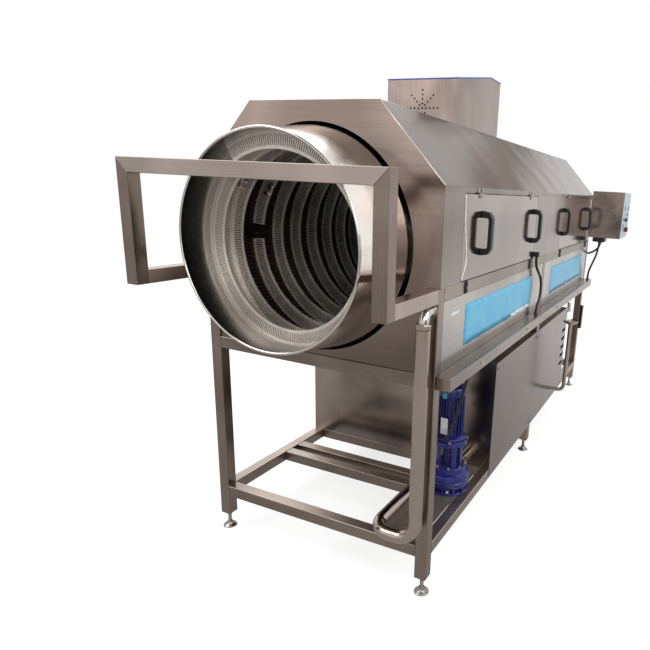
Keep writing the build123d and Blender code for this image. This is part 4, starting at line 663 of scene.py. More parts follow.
def disc(radius, height, ease):
    """Profile of a disc or nut with eased edges."""
    return [(0, 0), (radius - ease, 0), (radius, ease), (radius, height - ease), (radius - ease, height),
            (0, height)]


def add_rod(bm, radius, start, length, axis="Z", sides=32):
    """Closed cylinder from start along an axis."""
    add_turned(bm, [(0, 0), (radius, 0), (radius, length), (0, length)], start, axis, sides)


def easy_corners(points, radius, steps=4):
    """Section line of a folded sheet, with an arc at each inner point."""
    line = [Vector(points[0])]
    for before, corner, after in zip(points, points[1:], points[2:]):
        before, corner, after = Vector(before), Vector(corner), Vector(after)
        back = (before - corner).normalized()
        ahead = (after - corner).normalized()
        half = back.angle(ahead) / 2
        reach = radius / math.tan(half)
        centre = corner + (back + ahead).normalized() * radius / math.sin(half)
        first = corner + back * reach - centre
        last = corner + ahead * reach - centre
        turn = math.atan2(first.x * last.y - first.y * last.x, first.dot(last))
        line += [centre + Matrix.Rotation(turn * k / steps, 2) @ first for k in range(steps + 1)]
    return line + [Vector(points[-1])]


def sheet_outline(line, thickness):
    """Closed outline of a sheet whose outer face follows the line, thickness to its left."""
    others = []
    for i, point in enumerate(line):
        back = (point - line[i - 1]).normalized() if i else (line[1] - point).normalized()
        ahead = (line[i + 1] - point).normalized() if i + 1 < len(line) else back
        n = Vector((-back.y - ahead.y, back.x + ahead.x))
        n = n.normalized() / max(0.3, math.cos(back.angle(ahead) / 2))
        others.append(point + n * thickness)
    return [tuple(p) for p in line] + [tuple(p) for p in others[::-1]]


def piece(name, source, finish, body="frame", slot="frame_steel", stands_for=(), bevel=0.0, angle=35.0):
    """Object made from a bmesh or a mesh, riding on a body."""
    if isinstance(source, bmesh.types.BMesh):
        bmesh.ops.recalc_face_normals(source, faces=source.faces)
        mesh = mesh_of(source, name)
    else:
        mesh = source
        mesh.name = name
    if not mesh.materials:
        mesh.materials.append(finish)
    obj = put(name, mesh)
    mesh.shade_smooth()
    if bevel:
        easing = obj.modifiers.new("eased_edges", "BEVEL")
        easing.width = bevel * MM
        easing.segments = 3
        easing.limit_method = "ANGLE"
        easing.angle_limit = math.radians(angle)
        easing.harden_normals = True
    else:
        mesh.set_sharp_from_angle(angle=math.radians(angle))
    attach(obj, body)
    if stands_for:
        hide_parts(*stands_for)
    return obj


def box_piece(name, spans, finish, *where, **how):
    """Piece made of boxes, each given as x0, x1, y0, y1, z0, z1."""
    bm = bmesh.new()
    for span in spans:
        add_box(bm, *span)
    piece(name, bm, finish, *where, **how)


def turned_piece(name, profile, base, finish, sides=48, **how):
    """Piece turned about an upright axis."""
    bm = bmesh.new()
    add_turned(bm, profile, base, sides=sides)
    piece(name, bm, finish, **how)


def thicken(obj, thickness):
    """Gives a sheet its thickness, behind the face that is drawn."""
    wall = obj.modifiers.new("sheet", "SOLIDIFY")
    wall.thickness = thickness * MM
    wall.offset = -1.0


def keep_flat(obj):
    """Leaves the bending of light to the folds, so that flat faces mirror as flat ones."""
    obj.modifiers.new("flat_faces", "WEIGHTED_NORMAL").keep_sharp = True


# Geometry groups for what repeats or follows a path

SOCKETS = {float: "NodeSocketFloat", int: "NodeSocketInt"}


def group(build):
    """Makes build(graph, seed, sizes...) a geometry group with its typed sizes as inputs, and a finish."""
    tree = bpy.data.node_groups.new(build.__name__, "GeometryNodeTree")
    face = tree.interface
    face.new_socket("seed", in_out="INPUT", socket_type="NodeSocketGeometry")
    for label, kind in build.__annotations__.items():
        face.new_socket(label, in_out="INPUT", socket_type=SOCKETS[kind])
    face.new_socket("finish", in_out="INPUT", socket_type="NodeSocketMaterial")
    face.new_socket("Geometry", in_out="OUTPUT", socket_type="NodeSocketGeometry")
    g = Graph(tree)
    entry = tree.nodes.new("NodeGroupInput")
    seed, *sizes, finish = [Value(g, socket) for socket in entry.outputs if socket.name]
    whole = g.node("GeometryNodeRealizeInstances", {}, {"Geometry": build(g, seed, *sizes)})
    done = g.node("GeometryNodeSetMaterial", {}, {"Geometry": whole, "Material": finish})
    g.node("NodeGroupOutput", {}, {"Geometry": done})
    return tree


def grown(tree, seed, finish, **sizes):
    """Plain mesh that a geometry group makes from a seed mesh."""
    obj = put("seed", seed)
    growth = obj.modifiers.new("growth", "NODES")
    growth.node_group = tree
    values = {**sizes, "finish": finish}
    for item in tree.interface.items_tree:
        if item.in_out == "INPUT" and item.name in values:
            growth[item.identifier] = values[item.name]
    mesh = evaluated_mesh(obj)
    obj.modifiers.remove(growth)
    bpy.data.objects.remove(obj)
    return mesh


def line_mesh(lines):
    """Mesh of edges along lines of machine points."""
    points = []
    edges = []
    for line in lines:
        edges += [(len(points) + k, len(points) + k + 1) for k in range(len(line) - 1)]
        points += [at(*p) for p in line]
    mesh = bpy.data.meshes.new("line")
    mesh.from_pydata(points, edges, [])
    return mesh


def spot_mesh(spots):
    """Mesh of points, each with the way that it faces."""
    mesh = bpy.data.meshes.new("spots")
    mesh.from_pydata([at(*p) for p, way in spots], [], [])
    facing = mesh.attributes.new("facing", "FLOAT_VECTOR", "POINT")
    facing.data.foreach_set("vector", [c for p, way in spots for c in way])
    return mesh


@group
def pipe_run(g, seed, radius: float, bend: float, bend_steps: int, sides: int):
    """Round section along each line, with an arc at its inner points."""
    curve = g.node("GeometryNodeMeshToCurve", {}, {"Mesh": seed})
    bent = g.node("GeometryNodeFilletCurve", {"mode": "POLY"},
                  {"Curve": curve, "Count": bend_steps, "Radius": bend, "Limit Radius": True})
    ring = g.node("GeometryNodeCurvePrimitiveCircle", {"mode": "RADIUS"},
                  {"Resolution": sides, "Radius": radius})
    return g.node("GeometryNodeCurveToMesh", {}, {"Curve": bent, "Profile Curve": ring, "Fill Caps": True})


@group
def fastener_heads(g, seed, sides: int, head_radius: float, head_height: float, washer_radius: float,
                   washer_height: float):
    """Hexagon or round head on a washer at each spot."""
    washer = g.node("GeometryNodeMeshCylinder", {},
                    {"Vertices": 20, "Radius": washer_radius, "Depth": washer_height})
    lifted = g.node("ShaderNodeCombineXYZ", {}, {"Z": 0.5 * washer_height})
    washer = g.node("GeometryNodeTransform", {}, {"Geometry": washer, "Translation": lifted})
    head = g.node("GeometryNodeMeshCone", {}, {
        "Vertices": sides, "Side Segments": 1, "Radius Top": 0.86 * head_radius, "Radius Bottom": head_radius,
        "Depth": head_height})
    raised = g.node("ShaderNodeCombineXYZ", {}, {"Z": washer_height})
    head = g.node("GeometryNodeTransform", {}, {"Geometry": head, "Translation": raised})
    both = g.node("GeometryNodeJoinGeometry", {}, {"Geometry": [washer, head]})
    facing = g.node("GeometryNodeInputNamedAttribute", {"data_type": "FLOAT_VECTOR"}, {"Name": "facing"})
    turn = g.node("FunctionNodeAlignRotationToVector", {"axis": "Z"}, {"Vector": facing})
    return g.node("GeometryNodeInstanceOnPoints", {}, {"Points": seed, "Instance": both, "Rotation": turn})


@group
def weld_row(g, seed, step: float, radius: float):
    """Row of overlapping flattened beads along each line."""
    curve = g.node("GeometryNodeMeshToCurve", {}, {"Mesh": seed})
    spots = g.node("GeometryNodeResampleCurve", {"mode": "LENGTH"}, {"Curve": curve, "Length": step})
    bead = g.node("GeometryNodeMeshUVSphere", {}, {"Segments": 8, "Rings": 5, "Radius": radius})
    size = g.node("FunctionNodeRandomValue", {"data_type": "FLOAT"}, {2: 0.8, 3: 1.2, 8: 7}, 1)
    return g.node("GeometryNodeInstanceOnPoints", {}, {"Points": spots, "Instance": bead, "Scale": size})


@group
def stem_thread(g, seed, turns: float, radius: float, length: float, ridge: float):
    """Thread ridge round each stem, as a flat helix."""
    spiral = g.node("GeometryNodeCurveSpiral", {}, {
        "Resolution": 14, "Rotations": turns, "Start Radius": radius, "End Radius": radius, "Height": length})
    section = g.node("GeometryNodeCurvePrimitiveCircle", {"mode": "RADIUS"},
                     {"Resolution": 4, "Radius": ridge})
    thread = g.node("GeometryNodeCurveToMesh", {},
                    {"Curve": spiral, "Profile Curve": section, "Fill Caps": True})
    return g.node("GeometryNodeInstanceOnPoints", {}, {"Points": seed, "Instance": thread})


@group
def cooling_fins(g, seed, count: int, radius: float, depth: float, thickness: float, height: float):
    """Upright fins round each point, pointing outwards."""
    ring = g.node("GeometryNodeMeshCircle", {}, {"Vertices": count, "Radius": radius})
    size = g.node("ShaderNodeCombineXYZ", {}, {"X": depth, "Y": thickness, "Z": height})
    fin = g.node("GeometryNodeMeshCube", {}, {"Size": size})
    outward = g.node("GeometryNodeInputPosition")
    turn = g.node("FunctionNodeAlignRotationToVector", {"axis": "X", "pivot_axis": "Z"}, {"Vector": outward})
    fins = g.node("GeometryNodeInstanceOnPoints", {}, {"Points": ring, "Instance": fin, "Rotation": turn})
    return g.node("GeometryNodeInstanceOnPoints", {}, {"Points": seed, "Instance": fins})


@group
def perforated_sheet(g, seed, columns: int, rows: int, turn_start: float, turn_step: float, slot_width: float,
                     slot_length: float, start: float, pitch: float, length: float, wall_offset: float,
                     height: float, thickness: float):
    """Slotted sheet laid round the drum's axis: a helical strip or a cylinder. Its seed is empty."""
    across_count = 2 * rows + 2
    grid = g.node("GeometryNodeMeshGrid", {}, {"Vertices X": 2 * columns + 2, "Vertices Y": across_count})
    cell = g.node("GeometryNodeInputIndex")
    cell_rows = across_count - 1
    odd_column = (cell / cell_rows).maths("FLOOR") % 2.0
    odd_row = (cell % cell_rows) % 2.0
    sheet = g.node("GeometryNodeDeleteGeometry", {"domain": "FACE", "mode": "ONLY_FACE"},
                   {"Geometry": grid, "Selection": odd_column * odd_row > 0.5})

    def steps(count, slot):
        """Pitches up to a grid line, where bars and slots take turns."""
        return (count / 2.0).maths("FLOOR") + (count % 2.0) * (1 - slot)
    corner = g.node("GeometryNodeInputIndex")
    turn = turn_start + turn_step * steps((corner / across_count).maths("FLOOR"), slot_width)
    across = steps(corner % across_count, slot_length) / (1 + rows - slot_length)
    along = start + pitch * turn / 360.0 + length * across
    bore = g.spread(along, CONE_FRONT_Y * MM, SHELL_FRONT_Y * MM, LIP_INNER * MM, DRUM_INNER * MM)
    radius = bore + wall_offset - height * across
    angle = (FLIGHT_START_ANGLE - turn) * (math.pi / 180)
    spot = g.node("ShaderNodeCombineXYZ", {}, {
        "X": ORIGIN.x + radius * angle.maths("COSINE"), "Y": ORIGIN.y + along,
        "Z": DRUM_Z * MM + radius * angle.maths("SINE")})
    laid = g.node("GeometryNodeSetPosition", {}, {"Geometry": sheet, "Position": spot})
    thick = g.node("GeometryNodeExtrudeMesh", {"mode": "FACES"},
                   {"Mesh": laid, "Offset Scale": thickness, "Individual": False})
    under = g.node("GeometryNodeFlipFaces", {}, {"Mesh": laid})
    both = g.node("GeometryNodeJoinGeometry", {}, {"Geometry": [thick, under]})
    joined = g.node("GeometryNodeMergeByDistance", {}, {"Geometry": both, "Distance": 0.00002})
    return g.node("GeometryNodeSetShadeSmooth", {"domain": "FACE"},
                  {"Geometry": joined, "Shade Smooth": False})


def pipe_piece(name, points, radius, bend, finish, sides=32, bend_steps=10, **how):
    """Piece with a round section along a line of points."""
    mesh = grown(pipe_run, line_mesh([points]), finish, radius=radius * MM, bend=bend * MM,
                 bend_steps=bend_steps, sides=sides)
    piece(name, mesh, finish, **how)


def fasteners(name, spots, head, finish=ZINC, body="frame", slot="zinc", sides=6, height=4.0, washer=1.6):
    """Bolt or screw heads at (place, facing) spots."""
    mesh = grown(fastener_heads, spot_mesh(spots), finish, sides=sides, head_radius=head * MM,
                 head_height=height * MM, washer_radius=washer * head * MM, washer_height=0.25 * head * MM)
    piece(name, mesh, finish, body, slot)


# Frame

def tube_frame():
    legs = [(x - TUBE / 2, x + TUBE / 2, y, y + TUBE, LEG_BOTTOM, HOOD_BASE_Z)
            for y in LEG_YS for x in (-LEG_X, LEG_X)]
    box_piece("leg_tubes", legs, LEG_STEEL, stands_for=["legs"], bevel=TUBE_CORNER)
    rails = [(x, x + TUBE, near + TUBE, far, z, z + TUBE)
             for z in RAIL_ZS for near, far in zip(LEG_YS, LEG_YS[1:]) for x in (-HALF, INNER)]
    box_piece("side_rail_tubes", rails, RAIL_STEEL, stands_for=["side_rails"], bevel=TUBE_CORNER)
    crossings = [(INNER, y, BASE_RAIL_Z) for y in BASE_CROSS_YS]
    crossings += [(INNER, y, MID_RAIL_Z) for y in (LEG_YS[0], LEG_YS[2])]
    crossings += [(DRUM_BEAM_REACH, y, MID_RAIL_Z - TUBE) for y in DRUM_BEAM_YS]
    bars = [(-reach, reach, y, y + TUBE, z, z + TUBE) for reach, y, z in crossings]
    box_piece("cross_rail_tubes", bars, CROSS_STEEL, stands_for=["cross_rails"], bevel=TUBE_CORNER)


def guard():
    """Portal of square tube round the drum's mouth, on two arms from the front legs."""
    low = TOP_RAIL_Z
    inner_top = GUARD_TOP_Z - TUBE
    rear = GUARD_FRONT_Y + TUBE
    bar = [(-HALF, GUARD_TOP_Z), (HALF, GUARD_TOP_Z), (INNER, inner_top), (-INNER, inner_top)]
    bm = bmesh.new()
    add_prism(bm, bar, along_y, GUARD_FRONT_Y, rear)
    for x in (-HALF, INNER):
        add_box(bm, x, x + TUBE, rear, 0, low, low + TUBE)
    piece("guard_tubes", bm, GUARD_STEEL, stands_for=["outlet_guard"], bevel=GUARD_CORNER)
    # The posts take a darker copy of the bar's steel, painted shade
    bm = bmesh.new()
    for side in SIDES.values():
        post = [(side * HALF, low), (side * HALF, GUARD_TOP_Z), (side * INNER, inner_top),
                (side * INNER, low)]
        add_prism(bm, post, along_y, GUARD_FRONT_Y, rear)
    piece("guard_posts", bm, SHADED_POST_STEEL, stands_for=["outlet_guard"], bevel=GUARD_CORNER)


def ledge():
    tube = (HALF, LEDGE_REACH, LEDGE_FRONT_Y, FRAME_REAR_Y, MID_RAIL_Z, LEDGE_TOP_Z)
    box_piece("ledge_tube", [tube], LEDGE_STEEL, stands_for=["side_ledge"], bevel=LEDGE_CORNER)


def welds():
    """Beads where rails and arms meet the legs and each other."""
    near, far = TUBE_CORNER, TUBE - TUBE_CORNER
    lines = []
    for y in LEG_YS:
        for side in SIDES.values():
            for z in RAIL_ZS:
                for edge in (y, y + TUBE):
                    if 0 < edge < FRAME_REAR_Y:
                        lines.append([(side * HALF, edge, z + near), (side * HALF, edge, z + far)])
    for y in BASE_CROSS_YS:
        for side in SIDES.values():
            lines.append([(side * INNER, y + along, BASE_RAIL_TOP_Z) for along in (near, far)])
    for side in SIDES.values():
        lines.append([(side * INNER, GUARD_FRONT_Y, GUARD_TOP_Z - TUBE),
                      (side * (HALF - near), GUARD_FRONT_Y, GUARD_TOP_Z - near)])
        for z in (BASE_RAIL_Z, MID_RAIL_Z):
            lines.append([(side * INNER, 0, z + near), (side * INNER, 0, z + TUBE)])
    mesh = grown(weld_row, line_mesh(lines), ZINC, step=WELD_STEP * MM, radius=WELD_RADIUS * MM)
    piece("weld_beads", mesh, ZINC)


def feet():
    """Round pads on threaded stems with a nut."""
    places = [(x, y + TUBE / 2) for y in LEG_YS for x in (-LEG_X, LEG_X)]
    pad = [(0, 0), (28, 0), (PAD_RADIUS, 1.5), (PAD_RADIUS, 4), (28.5, 6), (21, 9), (15, 14), (12.5, 20),
           (12, 25), (11, PAD_HEIGHT), (0, PAD_HEIGHT)]
    nut = disc(FOOT_NUT_RADIUS, FOOT_NUT_HEIGHT, 1.5)
    pads = bmesh.new()
    stems = bmesh.new()
    for x, y in places:
        add_turned(pads, pad, (x, y, 0))
        add_rod(stems, STEM_RADIUS - 1, (x, y, PAD_HEIGHT), STEM_TOP - PAD_HEIGHT, sides=20)
        add_turned(stems, nut, (x, y, FOOT_NUT_Z), sides=6)
    piece("pads", pads, ZINC, slot="polished_steel", stands_for=["foot_pads"])
    starts = spot_mesh([((x, y, PAD_HEIGHT + 1), UP) for x, y in places])
    thread = grown(stem_thread, starts, ZINC, turns=THREAD_TURNS, radius=(STEM_RADIUS - THREAD_RIDGE) * MM,
                   length=THREAD_LENGTH * MM, ridge=THREAD_RIDGE * MM)
    piece("stems", stems, ZINC, slot="zinc", stands_for=["foot_stems"])
    piece("stem_threads", thread, ZINC, slot="zinc")


# Hood

def roof():
    """Folded roof sheet with the slot that the drive reaches through."""
    half = [(HOOD_HALF, SHOULDER_FLANGE_Z), (HOOD_HALF, SHOULDER_Z), (ROOF_HALF_WIDTH, ROOF_Z)]
    line = easy_corners(half + [(-x, z) for x, z in half[::-1]], ROOF_FOLD)
    bm = bmesh.new()
    add_prism(bm, sheet_outline(line, SHEET), along_y, HOOD_FRONT_Y + SHEET, HOOD_REAR_Y - SHEET)
    obj = piece("roof_sheet", bm, ROOF_STEEL, slot="hood_steel", stands_for=["hood_roof"], angle=20.0)
    cutter = bmesh.new()
    add_box(cutter, *ROOF_SLOT, ROOF_Z - SLOT_CUT, ROOF_Z + SLOT_CUT)
    bmesh.ops.recalc_face_normals(cutter, faces=cutter.faces)
    tool = put("slot_cutter", mesh_of(cutter, "slot_cutter"))
    cut = obj.modifiers.new("drive_slot", "BOOLEAN")
    cut.operation = "DIFFERENCE"
    cut.object = tool
    obj.data = evaluated_mesh(obj)
    obj.modifiers.remove(cut)
    bpy.data.objects.remove(tool)
    keep_flat(obj)


def hood_edges():
    """Dressed weld along the front and rear edges of the slopes and roof; on the slopes it is bright steel, a
    painted highlight along the folds.
    """
    line = ((HOOD_HALF, SHOULDER_Z), (ROOF_HALF_WIDTH, ROOF_Z), (-ROOF_HALF_WIDTH, ROOF_Z),
            (-HOOD_HALF, SHOULDER_Z))
    for name, y in (("front", HOOD_FRONT_Y + 1), ("rear", HOOD_REAR_Y - 1)):
        points = [(x, y, z) for x, z in line]
        # Painted highlight along the slope's fold
        pipe_piece(f"slope_glint_{name}", points[:2], SLOPE_GLINT, EDGE_BEND, EDGE_GLINT_STEEL, 10,
                   slot="polished_steel")
        pipe_piece(f"roof_edge_{name}", points[1:], ROOF_EDGE, EDGE_BEND, PLATE_STEEL, 8, slot="hood_steel")


def door_map(end, side):
    """Places a point of the front right door on any of the four."""
    def place(x, y, z):
        return side * x, (y if end == "front" else 2 * DOOR_MIRROR_Y - y), z
    return place


def door_tray(mark, place, side):
    """Door sheet with its four edges folded in."""
    corners = ((DOOR_FRONT_Y, DOOR_BOTTOM_Z), (DOOR_REAR_Y, DOOR_BOTTOM_Z), (DOOR_REAR_Y, DOOR_TOP_Z),
               (DOOR_FRONT_Y, DOOR_TOP_Z))
    bm = bmesh.new()
    rim, front = [[bm.verts.new(at(*place(x, y, z))) for y, z in corners]
                  for x in (HOOD_HALF - DOOR_DEPTH, HOOD_HALF)]
    bm.faces.new(front)
    for k in range(4):
        n = (k + 1) % 4
        bm.faces.new((rim[k], rim[n], front[n], front[k]))
    bmesh.ops.recalc_face_normals(bm, faces=bm.faces)
    if (bm.faces[:][0].normal.x > 0) != (side > 0):
        bmesh.ops.reverse_faces(bm, faces=bm.faces)
    folds = [e for e in bm.edges if len(e.link_faces) == 2]
    bmesh.ops.bevel(bm, geom=folds, offset=DOOR_FOLD * MM, segments=3, profile=0.5, affect="EDGES")
    obj = piece(f"door_tray_{mark}", mesh_of(bm, "door"), DOOR_STEEL, f"door_{mark}", "hood_steel",
                [f"door_{mark}"], angle=25.0)
    thicken(obj, SHEET)
    keep_flat(obj)


def door_glint(mark, place):
    """Pale rod near the door's free edge, a painted reflection along the bowed line that a reflection draws
    there.
    """
    points = [place(HOOD_HALF, DOOR_FRONT_Y + inset, z) for inset, z in DOOR_GLINT_LINE]
    pipe_piece(f"door_glint_{mark}", points, DOOR_GLINT, DOOR_GLINT_BEND, GLINT_WHITE, 10, body=f"door_{mark}",
               slot="polished_steel", angle=60.0)


def door_knuckles(mark, place):
    """Hinge leaves that turn with the door."""
    foot = DOOR_TOP_Z - LEAF_HEIGHT
    bend = HINGE_Z - KNUCKLE_RADIUS
    face = HOOD_HALF + SHEET
    leaf = [(HOOD_HALF, foot), (face, foot), (face, bend), (HINGE_X, bend), (HINGE_X, HINGE_Z),
            (HOOD_HALF, DOOR_TOP_Z)]
    bm = bmesh.new()
    for y in HINGE_YS:
        ends = (y - KNUCKLE_HALF, y + KNUCKLE_HALF)
        add_prism(bm, leaf, lambda x, z, along: place(x, along, z), *ends)
        start = min((place(HINGE_X, end, HINGE_Z) for end in ends), key=lambda spot: spot[1])
        add_rod(bm, KNUCKLE_RADIUS, start, 2 * KNUCKLE_HALF, "Y", 20)
    piece(f"door_knuckles_{mark}", bm, BAND_STEEL, f"door_{mark}", "hood_steel", bevel=0.5)


def grips(mark, place):
    """Two bow handles on a door."""
    reach = HOOD_HALF + HANDLE_REACH
    bar = reach - HANDLE_BAR
    inner = HANDLE_HALF - HANDLE_LEG
    upper = [(HOOD_HALF, HANDLE_HALF), (reach - HANDLE_CHAMFER, HANDLE_HALF - HANDLE_SLOPE),
             (reach, HANDLE_HALF - 2 * HANDLE_CHAMFER)]
    hollow = [(bar, inner - HANDLE_INNER_CHAMFER), (bar - HANDLE_INNER_CHAMFER, inner), (HOOD_HALF, inner)]
    outline = upper + [(x, -z) for x, z in upper[::-1]]
    outline += [(x, -z) for x, z in hollow[::-1]] + hollow
    bm = bmesh.new()
    for y in HANDLE_YS:
        add_prism(bm, outline, lambda x, z, along: place(x, along, HANDLE_Z + z), y - HANDLE_WIDTH / 2,
                  y + HANDLE_WIDTH / 2)
    piece(f"grips_{mark}", bm, RUBBER, f"door_{mark}", "grip_rubber", [f"handles_{mark}"], bevel=5.0,
          angle=30.0)


def hinge_screws(mark, place, side):
    spots = [(place(HOOD_HALF + SHEET, y + offset, HINGE_SCREW_Z), (side, 0, 0))
             for y in HINGE_YS for offset in (-HINGE_SCREW_OFFSET, HINGE_SCREW_OFFSET)]
    fasteners(f"hinge_screws_{mark}", spots, 2.2, ZINC, f"door_{mark}", sides=16, height=1.6, washer=1.05)


# Drum

def collar():
    """Rolled lip and cone of the drum's mouth."""
    bead_y = LIP_FRONT_Y + RIM_BEAD
    bead = [(LIP_RADIUS + RIM_BEAD * math.cos(a), bead_y + RIM_BEAD * math.sin(a))
            for a in [math.radians(t) for t in range(90, -151, -20)]]
    lip_rear = LIP_RADIUS + LIP_RISE
    inside = [(LIP_INNER, LIP_FRONT_Y + 3), (LIP_INNER, CONE_FRONT_Y - 12),
              (LIP_INNER + 1.2, CONE_FRONT_Y + 3), (DRUM_INNER - 1.2, SHELL_FRONT_Y - 6),
              (DRUM_INNER, SHELL_FRONT_Y)]
    outside = [(DRUM_RADIUS, SHELL_FRONT_Y), (DRUM_RADIUS - 1.2, SHELL_FRONT_Y - 6),
               (lip_rear + 1.0, CONE_FRONT_Y + 3), (lip_rear - 1.2, CONE_FRONT_Y - 12)]
    bm = bmesh.new()
    add_turned(bm, inside + outside + bead, (0, 0, DRUM_Z), "Y", DRUM_SIDES, closed=True)
    rim_end = at(0, LIP_FRONT_Y + 2 * RIM_BEAD, 0).y
    for face in bm.faces:
        face.material_index = int(face.calc_center_median().y < rim_end)
    obj = piece("collar", bm, COLLAR_STEEL, "drum", "polished_steel", ["outlet_collar"], angle=40.0)
    obj.data.materials.append(CHROME)


def perforated(finish, slot, **sizes):
    """Mesh of a slotted sheet of the drum, with a slot's shares of its cell's width and length."""
    return grown(perforated_sheet, bpy.data.meshes.new("sheet"), finish, slot_width=slot[0],
                 slot_length=slot[1], thickness=DRUM_SHEET * MM, **sizes)


def flight():
    """Slotted helical strip in lengths, with the gap that one joint leaves."""
    step = 360 / FLIGHT_SLOTS_PER_TURN
    lengths = ((0.0, FLIGHT_GAP[0]), (FLIGHT_GAP[1], FLIGHT_SPLIT), (FLIGHT_SPLIT, FLIGHT_END))
    for k, (near, far) in enumerate(lengths, 1):
        mesh = perforated(FLIGHT_STEEL, FLIGHT_SLOT, columns=int((far - near) / step), rows=1,
                          turn_start=near, turn_step=step, start=FLIGHT_START_Y * MM,
                          pitch=FLIGHT_PITCH * MM, length=0.0, wall_offset=-FLIGHT_FIT * MM,
                          height=FLIGHT_HEIGHT * MM)
        piece(f"flight_strip_{k}", mesh, FLIGHT_STEEL, "drum", "drum_steel", ["drum_flight"])


def shell():
    """Slotted cylinder of the drum, with a plain band at its mouth."""
    # The shell takes the dark steel, painted shade of the drum's inside
    mesh = perforated(SHADED_SHELL_STEEL, SHELL_SLOT, columns=SHELL_COLUMNS, rows=SHELL_ROWS, turn_start=0.0,
                      turn_step=360 / (SHELL_COLUMNS + 1 - SHELL_SLOT[0]), start=SLOTTED_FROM_Y * MM,
                      pitch=0.0, length=(DRUM_REAR_Y - SLOTTED_FROM_Y) * MM, wall_offset=0.0, height=0.0)
    piece("shell_sheet", mesh, SHADED_SHELL_STEEL, "drum", "drum_steel", ["drum_shell"])
    band = [(DRUM_INNER, SHELL_FRONT_Y), (DRUM_RADIUS, SHELL_FRONT_Y), (DRUM_RADIUS, SLOTTED_FROM_Y),
            (DRUM_INNER, SLOTTED_FROM_Y)]
    bm = bmesh.new()
    add_turned(bm, band, (0, 0, DRUM_Z), "Y", DRUM_SIDES, closed=True)
    piece("shell_band", bm, COLLAR_STEEL, "drum", "drum_steel")


def mouth_bolts():
    """Bolts that hold lengths of the flight together, just inside the drum's mouth."""
    spots = [(place, TO_THE_FRONT) for place in MOUTH_BOLTS]
    fasteners("flight_bolts", spots, 9.0, CHROME, "drum", "polished_steel", height=14.0, washer=1.3)


# Pump

def around(radius, degrees):
    """Point on a circle about the pump's axis."""
    a = math.radians(degrees)
    return PUMP[0] + radius * math.cos(a), PUMP[1] + radius * math.sin(a)


def add_radial(bm, degrees, near, far, width, z0, z1):
    """Upright bar pointing away from the pump's axis."""
    a = math.radians(degrees)
    out, side = Vector((math.cos(a), math.sin(a))), Vector((-math.sin(a), math.cos(a)))
    corners = ((near, -width / 2), (far, -width / 2), (far, width / 2), (near, width / 2))
    spots = [out * r + side * w for r, w in corners]
    add_prism(bm, [(PUMP[0] + p.x, PUMP[1] + p.y) for p in spots], along_z, z0, z1)


def pump_body():
    """Ribbed volute with two flanged nozzles, and the open lantern above it."""
    bm = bmesh.new()
    volute = [(0, 0), (90, 0), (92, 2), (92, 10), (88, 13), (62, 15), (58, 20), (60, 25), (86, 27), (94, 32),
              (98, 42), (98, 58), (94, 62), (98, 66), (98, 84), (94, 94), (84, 99), (80, 101), (80, 123),
              (78, 125), (0, 125)]
    add_turned(bm, volute, (*PUMP, PUMP_FLOOR_Z), sides=64)
    for degrees in VOLUTE_RIB_ANGLES:
        add_radial(bm, degrees, *VOLUTE_RIB)
    flange = disc(LANTERN_FLANGE_RADIUS, LANTERN_FLANGE, 2)
    add_turned(bm, flange, (*PUMP, LANTERN_TOP_Z - LANTERN_FLANGE), sides=64)
    for degrees in LANTERN_RIB_ANGLES:
        add_radial(bm, degrees, *LANTERN_RIB)
    low, high = LANTERN_RIBS_Z
    add_rod(bm, SHAFT_RADIUS, (*PUMP, low), high - low)
    nozzle = disc(FLANGE_RADIUS, FLANGE_LENGTH, 1)[:-1] + [(35, 15), (33.5, 20), (33.5, 70), (0, 70)]
    for x, way in ((NOZZLE_X, 1), (PUMP[0], -1)):
        profile = [(r, way * h) for r, h in nozzle]
        add_turned(bm, profile, (x, PUMP[1] - way * NOZZLE_REACH, NOZZLE_Z), "Y", 40)
    piece("pump_case", bm, NAVY, slot="pump_paint", stands_for=["pump_casing"], angle=40.0)


def pump_drive():
    """Finned motor with its terminal box and fan cowl."""
    x, y = PUMP
    height = MOTOR_TOP_Z - LANTERN_TOP_Z
    case = [(0, 0), (70, 0), (72, 2), (72, 12), (70, 14), (56, 18), (48, MOTOR_FLANGE), (48, height),
            (0, height)]
    bm = bmesh.new()
    add_turned(bm, case, (x, y, LANTERN_TOP_Z), sides=56)
    near, far = TERMINAL_REACH
    add_box(bm, x - far, x - near, y - TERMINAL_HALF, y + TERMINAL_HALF, TERMINAL_Z - TERMINAL_HALF,
            TERMINAL_Z + TERMINAL_HALF)
    piece("motor_case", bm, NAVY, slot="pump_paint", stands_for=["pump_motor"], bevel=1.2)
    middle = (x, y, (LANTERN_TOP_Z + MOTOR_FLANGE + MOTOR_TOP_Z) / 2)
    fins = grown(cooling_fins, spot_mesh([(middle, UP)]), NAVY, count=FIN_COUNT, radius=FIN_RADIUS * MM,
                 depth=FIN_DEPTH * MM, thickness=FIN_THICKNESS * MM, height=(height - MOTOR_FLANGE + 2) * MM)
    piece("motor_fins", fins, NAVY, slot="pump_paint", bevel=0.8)
    cowl = [(0, 0), (61, 0), (62, 1), (62.5, 4), (62, 32), (58, 38), (50, 40), (0, 40)]
    turned_piece("fan_cowl", cowl, (x, y, MOTOR_TOP_Z), NAVY, 56, slot="pump_paint",
                 stands_for=["pump_fan_cover"], angle=40.0)


